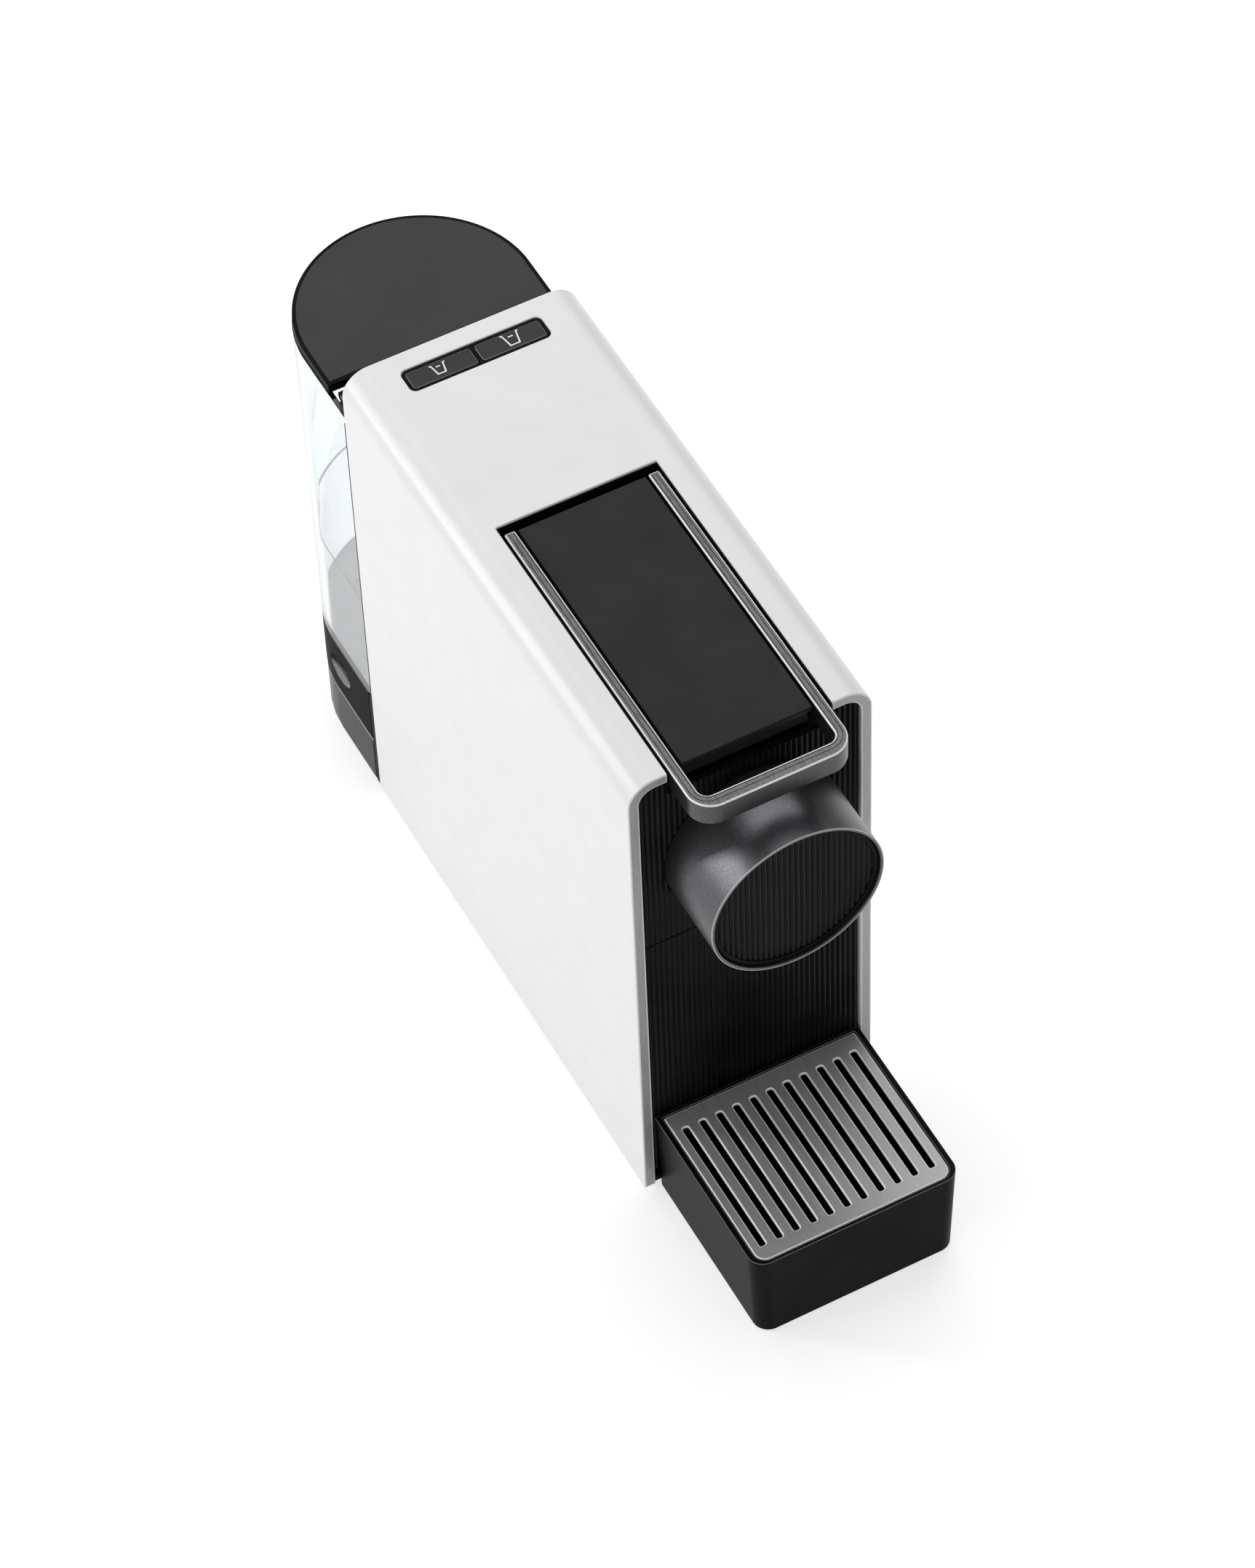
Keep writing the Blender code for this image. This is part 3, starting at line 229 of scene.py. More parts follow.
class Paint(NodeTree):
    """One material's shader tree."""

    def __init__(self, name: str) -> None:
        """Makes the material with its Principled shader."""
        self.material = bpy.data.materials.new(name)
        self.material.use_nodes = True
        super().__init__(self.material.node_tree)
        self.shader = self.tree.nodes["Principled BSDF"]
        self.place = self.node("ShaderNodeTexCoord").outputs["Object"]

    def set(self, **sockets: Any) -> None:
        """Sets or links the shader's inputs, with _ for a space in a name."""
        for name, value in sockets.items():
            self.feed(self.shader.inputs[name.replace("_", " ")], value)

    def stretched(self, scale: Place) -> Socket:
        """The object's coordinates, scaled along each axis."""
        return self.vector("MULTIPLY", self.place, scale)

    def noise(self, scale: float, detail: float = 2.0, along: Any = None) -> Value:
        """Noise from 0 to 1.

        Args:
            scale: Cells to the metre.
            detail: Octaves.
            along: Coordinates other than the object's.

        Returns:
            The noise.
        """
        sockets = {"Vector": along or self.place, "Scale": scale, "Detail": detail}
        return Value(self, self.node("ShaderNodeTexNoise", sockets=sockets).outputs["Fac"])

    def cells(self, scale: float, feature: str = "F1") -> Value:
        """Distance in a Voronoi pattern of so many cells to the metre."""
        sockets = {"Vector": self.place, "Scale": scale}
        made = self.node("ShaderNodeTexVoronoi", {"feature": feature}, sockets)
        return Value(self, made.outputs["Distance"])

    def between(self, value: Value, low: float, high: float) -> Value:
        """0 below low, 1 above high and smooth in between."""
        sockets = {"Value": value, "From Min": low, "From Max": high}
        made = self.node("ShaderNodeMapRange", {"interpolation_type": "SMOOTHSTEP"}, sockets)
        return Value(self, made.outputs[0])

    def slope(self) -> Value:
        """1 on the rounded upper edges of a piece, 0 on its flats and its walls: the mask of a
        painted edge highlight.
        """
        _, _, up = self.split(self.node("ShaderNodeTexCoord").outputs["Normal"])
        return self.between(up, 0.04, 0.25) * (1 - self.between(up, 0.965, 0.998))

    def blend(self, first: Any, second: Any, share: Any) -> Socket:
        """Two colours mixed, with share of the second."""
        made = self.node("ShaderNodeMix", {"data_type": "RGBA"}, {0: share, 6: first, 7: second})
        return made.outputs[2]

    def surface(self, colour: Socket, roughness: Value, height: Value, depth: float) -> None:
        """Links what every finish varies.

        Args:
            colour: Its colour.
            roughness: Its gloss.
            height: Its relief, from 0 to 1.
            depth: The relief's depth in metres.
        """
        sockets = {"Height": height, "Distance": depth, "Strength": 1.0}
        bump = self.node("ShaderNodeBump", sockets=sockets).outputs[0]
        self.set(Base_Color=colour, Roughness=roughness, Normal=bump)


# ------------------------------------------------------------------ finishes


def lighter(colour: Colour, share: float) -> Colour:
    """The colour, brought towards white (or towards black where share is below 0)."""
    if share < 0:
        return tuple(part * (1 + share) for part in colour)
    return tuple(part + (1 - part) * share for part in colour)


@dataclass(frozen=True)
class Finish:
    """What every finish has: its name, the record's slot, a colour and a gloss."""

    name: str
    slot: str
    colour: Colour
    roughness: float
    metallic: float = 0.0
    specular: float = 0.5

    def material(self) -> bpy.types.Material:
        """The finish as a material, made the first time it is asked for."""
        found = bpy.data.materials.get(self.name)
        if found:
            return found
        paint = Paint(self.name)
        paint.set(Metallic=self.metallic, Specular_IOR_Level=self.specular)
        self.dress(paint)
        return paint.material

    def shades(self, paint: Paint, darker: float, lighten: float, share: Value) -> Socket:
        """The colour, from some share darker to some share lighter."""
        dark, light = lighter(self.colour, -darker), lighter(self.colour, lighten)
        return paint.blend(dark, light, share)

    def dress(self, paint: Paint) -> None:
        """Writes the finish's own detail."""
        raise NotImplementedError


@dataclass(frozen=True)
class Moulded(Finish):
    """Moulded plastic or rubber: fine eroded grain, and gloss and colour that wander a little."""

    grain: float = 1500.0
    depth: float = 0.00003
    wander: float = 0.06
    # edge: how much lighter the rounded upper edges are painted, a painted highlight
    edge: float = 0.0

    def dress(self, paint: Paint) -> None:
        """Grain in the relief, slow clouds in colour and gloss, and a painted highlight on the
        upper edges.
        """
        clouds = paint.noise(45.0, 3.0)
        grain = paint.noise(self.grain, 2.0)
        speckle = paint.between(clouds * 0.6 + grain * 0.4, 0.3, 0.7)
        body = self.shades(paint, self.wander, self.wander * 0.1, speckle)
        if self.edge:
            # Painted highlight: the colour lightened on the rounded upper edges.
            body = paint.blend(body, lighter(self.colour, self.edge), paint.slope())
        gloss = self.roughness + (clouds - 0.5) * 0.08 + (grain - 0.5) * 0.06
        paint.surface(body, gloss, grain, self.depth)


@dataclass(frozen=True)
class Glossy(Finish):
    """Polished plastic, with the faint swell that moulding leaves."""

    swell: float = 70.0
    depth: float = 0.00002

    def dress(self, paint: Paint) -> None:
        """A slow swell in the relief, and a trace of haze in the gloss."""
        swell = paint.noise(self.swell, 1.0)
        haze = paint.noise(900.0, 3.0)
        body = self.shades(paint, 0.02, 0.0, paint.between(swell, 0.3, 0.7))
        gloss = self.roughness + (haze - 0.5) * 0.04
        paint.surface(body, gloss, swell * 0.8 + haze * 0.05, self.depth)


@dataclass(frozen=True)
class Brushed(Finish):
    """Painted or brushed metal: hair lines along one direction over a fine fleck."""

    stretch: Place = (1.0, 0.03, 1.0)
    lines: float = 2600.0
    depth: float = 0.000006
    # edge: how much lighter the rounded upper edges are painted, a painted highlight
    edge: float = 0.0

    def dress(self, paint: Paint) -> None:
        """Hair lines in the gloss and relief, fleck in the colour, and a painted highlight on the
        upper edges, less metallic there.
        """
        lines = paint.noise(self.lines, 2.0, paint.stretched(self.stretch))
        fleck = paint.noise(2200.0, 1.0)
        clouds = paint.noise(30.0, 2.0)
        shade = paint.between(lines * 0.5 + fleck * 0.3 + clouds * 0.2, 0.35, 0.65)
        body = self.shades(paint, 0.14, 0.05, shade)
        if self.edge:
            # Painted highlight: lighter, less metallic colour on the rounded upper edges.
            painted_highlight = paint.slope()
            body = paint.blend(body, lighter(self.colour, self.edge), painted_highlight)
            paint.set(Metallic=self.metallic * (1 - painted_highlight))
        gloss = self.roughness + (lines - 0.5) * 0.12 + (clouds - 0.5) * 0.05
        paint.surface(body, gloss, lines, self.depth)


@dataclass(frozen=True)
class Clear(Finish):
    """Clear plastic that light goes through, with a faint flow ripple."""

    ior: float = 1.46
    ripple: float = 25.0
    depth: float = 0.00004

    def dress(self, paint: Paint) -> None:
        """A slow ripple in the relief and fine handling haze in the gloss."""
        ripple = paint.noise(self.ripple, 1.0, paint.stretched((1.0, 1.0, 0.35)))
        haze = paint.noise(260.0, 4.0)
        paint.set(Transmission_Weight=1.0, IOR=self.ior)
        body = self.shades(paint, 0.03, 0.0, paint.between(haze, 0.35, 0.65))
        gloss = self.roughness + paint.between(haze, 0.55, 0.8) * 0.03
        paint.surface(body, gloss, ripple, self.depth)


@dataclass(frozen=True)
class Cast(Finish):
    """Cast metal: pitted skin with darker hollows."""

    pits: float = 700.0
    depth: float = 0.00015

    def dress(self, paint: Paint) -> None:
        """Pits in the relief, and the colour darker in the hollows."""
        pits = paint.cells(self.pits)
        clouds = paint.noise(90.0, 4.0)
        skin = paint.between(pits + clouds * 0.4, 0.2, 0.9)
        gloss = self.roughness + (clouds - 0.5) * 0.2
        paint.surface(self.shades(paint, 0.35, 0.0, skin), gloss, skin, self.depth)


@dataclass(frozen=True)
class Board(Finish):
    """A circuit board: solder mask over a mesh of tracks."""

    tracks: float = 420.0
    depth: float = 0.00004

    def dress(self, paint: Paint) -> None:
        """Tracks show lighter and stand up a little under the mask."""
        edge = paint.cells(self.tracks, "DISTANCE_TO_EDGE")
        track = 1 - paint.between(edge, 0.05, 0.12)
        gloss = self.roughness + track * 0.08
        paint.surface(self.shades(paint, 0.0, 0.12, track), gloss, track, self.depth)


WHITE = Glossy("casing_white", "gloss_white", (0.69, 0.692, 0.691), 0.25, specular=0.26)
# Grey that stands for the shade on the shell's front end, and for a painted highlight round the
# head's mouth.
SHADE_AND_HIGHLIGHT_GREY = Brushed(
    "rim_silver", "gloss_white", (0.36, 0.36, 0.365), 0.42, metallic=0.3, stretch=(1, 1, 0.05)
)
BLACK = Moulded("black_moulding", "black_plastic", (0.003, 0.003, 0.0033), 0.42, specular=0.03)
RIBBED = Moulded("black_ribbing", "black_plastic", (0.003, 0.003, 0.0033), 0.4, specular=0.05)
# An edge above 0 paints a highlight on a finish's rounded upper edges.
TRAY = Moulded(
    "tray_black", "black_plastic", (0.0012, 0.0013, 0.0014), 0.38, specular=0.025, edge=0.12
)
COVER = Moulded("cover_charcoal", "dark_plastic", (0.015, 0.015, 0.0155), 0.42, specular=0.08)
LID = Moulded("lid_charcoal", "dark_plastic", (0.038, 0.038, 0.039), 0.5, specular=0.1)
KEYS = Moulded(
    "key_charcoal", "dark_plastic", (0.028, 0.028, 0.029), 0.4, specular=0.1, edge=0.2
)
DOCK = Moulded(
    "dock_charcoal", "dark_plastic", (0.006, 0.0063, 0.007), 0.5, specular=0.015, edge=0.2
)
INNER = Moulded("inner_charcoal", "dark_plastic", (0.03, 0.03, 0.032), 0.5)
GREY = Moulded("inner_grey", "grey_plastic", (0.26, 0.26, 0.27), 0.5, wander=0.12)
HEAD = Brushed(
    "head_graphite", "graphite_metal", (0.08, 0.081, 0.088), 0.34, metallic=0.9, stretch=(1, 1, 1)
)
LEVER = Brushed(
    "lever_graphite",
    "graphite_metal",
    (0.055, 0.056, 0.06),
    0.32,
    metallic=0.85,
    stretch=(1, 0.1, 1),
    edge=0.75,
)
GRATE = Brushed(
    "grate_brushed",
    "grate_metal",
    (0.33, 0.332, 0.34),
    0.4,
    metallic=0.4,
    stretch=(1, 0.02, 1),
    edge=0.75,
)
STEEL = Brushed(
    "turned_steel", "steel", (0.58, 0.58, 0.59), 0.28, metallic=1.0, stretch=(1, 1, 0.05)
)
ALUMINIUM = Cast("cast_aluminium_skin", "cast_aluminium", (0.56, 0.56, 0.57), 0.5, metallic=1.0)
TANK = Clear("tank_clear", "clear_plastic", (0.9, 0.935, 0.95), 0.02)
SMOKE = Moulded(
    "skirt_smoke", "smoke_plastic", (0.01, 0.0105, 0.0115), 0.25, specular=0.05, edge=0.3
)
RUBBER = Moulded("foot_rubber", "rubber", (0.02, 0.02, 0.02), 0.75, grain=900.0, depth=0.00006)
BOARD = Board("solder_mask", "circuit_board", (0.02, 0.12, 0.05), 0.35)
SILICONE = Moulded("hose_silicone", "silicone_hose", (0.72, 0.72, 0.69), 0.4, grain=700.0)
INK = Moulded("icon_ink", "gloss_white", (0.82, 0.82, 0.82), 0.45, grain=2500.0)


# ------------------------------------------------------------------ outlines


def arc(centre: Point, radius: float, start: float, end: float, steps: int = 10) -> list[Point]:
    """Points along an arc, from one angle in degrees to another."""
    points = []
    for step in range(steps + 1):
        angle = math.radians(start + (end - start) * step / steps)
        points.append((centre[0] + radius * math.cos(angle), centre[1] + radius * math.sin(angle)))
    return points


def rounded(
    half_u: float, half_v: float, radius: float, centre: Point = (0.0, 0.0), steps: int = 8
) -> list[Point]:
    """A rectangle's outline with round corners, anticlockwise."""
    points = []
    for turn, (u, v) in enumerate(((1, 1), (-1, 1), (-1, -1), (1, -1))):
        corner = (centre[0] + u * (half_u - radius), centre[1] + v * (half_v - radius))
        points += arc(corner, radius, 90 * turn, 90 * turn + 90, steps)
    return points


def d_outline(half: float, front: float, rear: float, steps: int = 64) -> list[Point]:
    """A D from above: a straight front and sides, and a half-round rear."""
    return [(-half, front), (half, front)] + arc((0.0, rear - half), half, 0, 180, steps)


def arch(half: float, bottom: float, top: float, radius: float, steps: int = BEND) -> list[Point]:
    """An upright panel in X and Z with its two upper corners round."""
    right = arc((half - radius, top - radius), radius, 0, 90, steps)
    left = arc((radius - half, top - radius), radius, 90, 180, steps)
    return [(-half, bottom), (half, bottom)] + right + left


def arch_band(
    outer: tuple[float, float, float], inner: tuple[float, float, float], bottom: float
) -> list[Point]:
    """The upturned U between two arches, each given as (half, top, radius)."""
    outside = arch(outer[0], bottom, outer[1], outer[2])
    inside = arch(inner[0], bottom, inner[1], inner[2])
    return outside[1:] + [outside[0], inside[0]] + inside[:1:-1] + [inside[1]]


# -------------------------------------------------------------------- solids


class Solid:
    """A mesh piece in the making. Each step is baked in as it is asked for."""

    def __init__(self, name: str, bm: bmesh.types.BMesh) -> None:
        """Makes the object from a finished bmesh."""
        mesh = bpy.data.meshes.new(name)
        bm.to_mesh(mesh)
        bm.free()
        self.obj = bpy.data.objects.new(name, mesh)
        bpy.context.scene.collection.objects.link(self.obj)

    @classmethod
    def prism(
        cls, name: str, outline: Sequence[Point], low: float, high: float, axis: Axis = Axis.Z
    ) -> "Solid":
        """An outline carried from low to high along an axis."""
        return cls.lofted(name, (outline, outline), low, high, axis)

    @classmethod
    def lofted(
        cls,
        name: str,
        outlines: tuple[Sequence[Point], Sequence[Point]],
        low: float,
        high: float,
        axis: Axis = Axis.Z,
    ) -> "Solid":
        """A solid from one outline at low to another of as many points at high."""
        bm = bmesh.new()
        ends = []
        for outline, along in zip(outlines, (low, high)):
            ends.append([bm.verts.new(axis.place(u, v, along)) for u, v in outline])
        bm.faces.new(ends[0])
        bm.faces.new(ends[1])
        for index in range(len(outlines[0])):
            after = (index + 1) % len(outlines[0])
            bm.faces.new((ends[0][index], ends[0][after], ends[1][after], ends[1][index]))
        bmesh.ops.recalc_face_normals(bm, faces=bm.faces)
        return cls(name, bm)

    @classmethod
    def block(cls, name: str, x: Point, y: Point, z: Point) -> "Solid":
        """A box from its three (low, high) pairs."""
        return cls.prism(name, [(x[0], y[0]), (x[1], y[0]), (x[1], y[1]), (x[0], y[1])], *z)

    @classmethod
    def turned(
        cls,
        name: str,
        profile: Sequence[Point],
        centre: Place = (0.0, 0.0, 0.0),
        axis: Axis = Axis.Z,
        steps: int = 64,
    ) -> "Solid":
        """A closed profile of (radius, place) points turned about an axis through centre."""
        bm = bmesh.new()
        loops = []
        for radius, along in profile:
            count = steps if radius > 0 else 1
            turns = [2 * math.pi * step / count for step in range(count)]
            ring = [axis.place(radius * math.cos(a), radius * math.sin(a), along) for a in turns]
            loops.append([bm.verts.new(Vector(centre) + Vector(at)) for at in ring])
        for index, near in enumerate(loops):
            far = loops[(index + 1) % len(loops)]
            for step in range(steps):
                corners = [near[step % len(near)], near[(step + 1) % len(near)]]
                corners += [far[(step + 1) % len(far)], far[step % len(far)]]
                corners = list(dict.fromkeys(corners))
                if len(corners) > 2:
                    bm.faces.new(corners)
        bmesh.ops.recalc_face_normals(bm, faces=bm.faces)
        return cls(name, bm)

    @classmethod
    def rod(
        cls,
        name: str,
        radius: float,
        low: float,
        high: float,
        centre: Place = (0.0, 0.0, 0.0),
        axis: Axis = Axis.Z,
        steps: int = 64,
    ) -> "Solid":
        """A plain cylinder along an axis."""
        profile = [(0.0, low), (radius, low), (radius, high), (0.0, high)]
        return cls.turned(name, profile, centre, axis, steps)

    @classmethod
    def copied(cls, name: str, node: str) -> "Solid":
        """A frame node's shape as a clean mesh, its triangles merged into whole flats."""
        bm = bmesh.new()
        bm.from_mesh(frame["nodes"][node].data)
        bmesh.ops.remove_doubles(bm, verts=bm.verts, dist=1e-6)
        flat = math.radians(FLAT_WITHIN)
        bmesh.ops.dissolve_limit(bm, angle_limit=flat, verts=bm.verts, edges=bm.edges)
        return cls(name, bm)

    def bake(self) -> "Solid":
        """Applies the object's modifiers."""
        graph = bpy.context.evaluated_depsgraph_get()
        baked = bpy.data.meshes.new_from_object(self.obj.evaluated_get(graph))
        before = self.obj.data
        self.obj.modifiers.clear()
        self.obj.data = baked
        bpy.data.meshes.remove(before)
        return self

    def combine(self, others: Iterable["Solid"], operation: str) -> "Solid":
        """Applies one boolean operation with each of the others, and removes them."""
        for other in others:
            modifier = self.obj.modifiers.new("combine", "BOOLEAN")
            modifier.operation = operation
            modifier.solver = "EXACT"
            modifier.object = other.obj
            self.bake()
            bpy.data.objects.remove(other.obj)
        return self

    def cut(self, *others: "Solid") -> "Solid":
        """Takes the others away."""
        return self.combine(others, "DIFFERENCE")

    def join(self, *others: "Solid") -> "Solid":
        """Adds the others."""
        return self.combine(others, "UNION")

    def keep(self, *others: "Solid") -> "Solid":
        """Keeps only what is also inside the others."""
        return self.combine(others, "INTERSECT")

    def soften(self, width: float, segments: int = 3) -> "Solid":
        """Rounds the sharp edges by a width."""
        modifier = self.obj.modifiers.new("soften", "BEVEL")
        modifier.width = width
        modifier.segments = segments
        modifier.limit_method = "ANGLE"
        modifier.angle_limit = math.radians(SOFTEN_FROM)
        modifier.miter_outer = "MITER_ARC"
        return self.bake()

    def settle(self, body: str, finish: Finish, *nodes: str) -> None:
        """Shades and dresses the piece and puts it on its body.

        Args:
            body: The body that it rides on.
            finish: Its finish.
            nodes: The frame nodes that it stands for.
        """
        mesh = self.obj.data
        mesh.shade_smooth()
        mesh.set_sharp_from_angle(angle=math.radians(SHARP_FROM))
        self.obj.modifiers.new("normals", "WEIGHTED_NORMAL").keep_sharp = True
        self.bake()
        mesh = self.obj.data
        mesh.materials.clear()
        mesh.materials.append(finish.material())
        mesh.polygons.foreach_set("material_index", [0] * len(mesh.polygons))
        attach(self.obj, body)
        if nodes:
            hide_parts(*nodes)
        LOG.info("%s: %d faces on %s", self.obj.name, len(mesh.polygons), body)


def body_of(node: str) -> str:
    """The body that a frame node is in."""
    return frame["nodes"][node]["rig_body"]


def centre_of(node: str) -> Vector:
    """The middle of a frame node's box."""
    low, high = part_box(node)
    return (low + high) / 2


def through(low: float, high: float) -> Point:
    """The range from low to high, reaching past both ends as a cutter must."""
    return (low - OVERCUT, high + OVERCUT)


def refined(node: str, finish: Finish, edge: float = 0.0003, segments: int = 2) -> None:
    """Stands a softened copy of a frame node in its place.

    Args:
        node: The frame node.
        finish: The copy's finish.
        edge: How wide its edges are rounded.
        segments: How finely.
    """
    solid = Solid.copied(f"{node}_skin", node).soften(edge, segments)
    solid.settle(body_of(node), finish, node)


# ------------------------------------------------------------ geometry trees


class ShapeTree(NodeTree):
    """A Geometry Nodes tree with named inputs that ends in plain mesh with a material."""

    def __init__(self, name: str) -> None:
        """Makes the empty tree with its geometry output."""
        super().__init__(bpy.data.node_groups.new(name, "GeometryNodeTree"))
        self.tree.interface.new_socket(
            "Geometry", in_out="OUTPUT", socket_type="NodeSocketGeometry"
        )
        self.inlet = self.node("NodeGroupInput")

    def size(self, name: str, kind: str = "Float") -> Value:
        """A new named input of the tree."""
        self.tree.interface.new_socket(name, in_out="INPUT", socket_type=f"NodeSocket{kind}")
        return Value(self, self.inlet.outputs[name])

    def raised(self, face: Socket, height: Value) -> bpy.types.Node:
        """A flat mesh carried up by a height, open underneath."""
        sockets = {"Offset": self.join(0.0, 0.0, 1.0), "Offset Scale": height}
        sockets.update({"Mesh": face, "Individual": False})
        return self.node("GeometryNodeExtrudeMesh", sockets=sockets)

    def closed(self, upper: Socket, face: Socket) -> Socket:
        """One closed mesh from a raised face and the flat one it was raised from."""
        back = self.node("GeometryNodeFlipFaces", sockets={0: face})
        whole = self.node("GeometryNodeJoinGeometry")
        for geometry in (upper, back.outputs[0]):
            self.feed(whole.inputs[0], geometry)
        sockets = {"Geometry": whole.outputs[0], "Distance": 1e-6}
        return self.node("GeometryNodeMergeByDistance", sockets=sockets).outputs[0]

    def end(self, geometry: Socket, at: Any, turn: Place = (0.0, 0.0, 0.0)) -> None:
        """Turns and moves the geometry, realises it, sets the material and closes the tree."""
        sockets = {"Geometry": geometry, "Translation": at, "Rotation": turn}
        placed = self.node("GeometryNodeTransform", sockets=sockets)
        real = self.node("GeometryNodeRealizeInstances", sockets={0: placed.outputs[0]})
        sockets = {0: real.outputs[0], "Material": self.size("Material", "Material")}
        dressed = self.node("GeometryNodeSetMaterial", sockets=sockets)
        self.node("NodeGroupOutput", sockets={0: dressed.outputs[0]})

    def grow(self, name: str, finish: Finish, **sizes: Any) -> Solid:
        """Runs the tree once.

        Args:
            name: The new piece's name.
            finish: Its finish.
            sizes: The tree's inputs, with _ for a space in a name.

        Returns:
            The result as a plain mesh piece.
        """
        solid = Solid(name, bmesh.new())
        modifier = solid.obj.modifiers.new("grow", "NODES")
        modifier.node_group = self.tree
        values = {key.replace("_", " "): value for key, value in sizes.items()}
        values["Material"] = finish.material()
        for item in self.tree.interface.items_tree:
            if item.in_out == "INPUT":
                modifier[item.identifier] = values[item.name]
        return solid.bake()


def fluted_tree() -> ShapeTree:
    """A closed panel with upright round ribs on its front, lying in X and Z and facing -Y."""
    tree = ShapeTree("fluted_panel")
    names = ("Width", "Height", "Thickness", "Pitch", "Relief")
    width, height, thickness, pitch, relief = [tree.size(name) for name in names]
    centre = tree.size("Centre", "Vector")
    ribs = tree.math("ROUND", width / pitch)
    sockets = {"Size X": width, "Size Y": height, "Vertices X": ribs * 8 + 1, "Vertices Y": 2}
    sheet = tree.node("GeometryNodeMeshGrid", sockets=sockets).outputs[0]
    raised = tree.raised(sheet, thickness - relief)
    x, _, _ = tree.split(tree.node("GeometryNodeInputPosition").outputs[0])
    crest = abs(tree.math("SINE", x / pitch * math.pi)) ** 0.8
    sockets = {"Geometry": raised.outputs["Mesh"], "Selection": raised.outputs["Top"]}
    sockets["Offset"] = tree.join(0.0, 0.0, crest * relief)
    ribbed = tree.node("GeometryNodeSetPosition", sockets=sockets)
    tree.end(tree.closed(ribbed.outputs[0], sheet), centre, (math.pi / 2, 0.0, 0.0))
    return tree


def slot_row_tree() -> ShapeTree:
    """A row of upright slot cutters with rounded ends, spaced along X."""
    tree = ShapeTree("slot_row")
    count = tree.size("Count", "Int")
    pitch, width, length, depth = [tree.size(n) for n in ("Pitch", "Width", "Length", "Depth")]
    centre = tree.size("Centre", "Vector")
    sockets = {"Count": count, "Offset": tree.join(pitch, 0.0, 0.0)}
    row = tree.node("GeometryNodeMeshLine", sockets=sockets)
    sockets = {"Width": width, "Height": length}
    outline = tree.node("GeometryNodeCurvePrimitiveQuadrilateral", sockets=sockets)
    sockets = {"Curve": outline.outputs[0], "Count": 4, "Radius": width * 0.35}
    rounder = tree.node("GeometryNodeFilletCurve", {"mode": "POLY"}, sockets)
    sockets = {0: rounder.outputs[0]}
    face = tree.node("GeometryNodeFillCurve", {"mode": "NGONS"}, sockets).outputs[0]
    cutter = tree.closed(tree.raised(face, depth).outputs["Mesh"], face)
    sockets = {"Points": row.outputs[0], "Instance": cutter}
    copies = tree.node("GeometryNodeInstanceOnPoints", sockets=sockets)
    half = pitch * (count - 1) / 2
    tree.end(copies.outputs[0], tree.vector("SUBTRACT", centre, tree.join(half, 0.0, 0.0)))
    return tree


# ------------------------------------------------------------ sub-assemblies


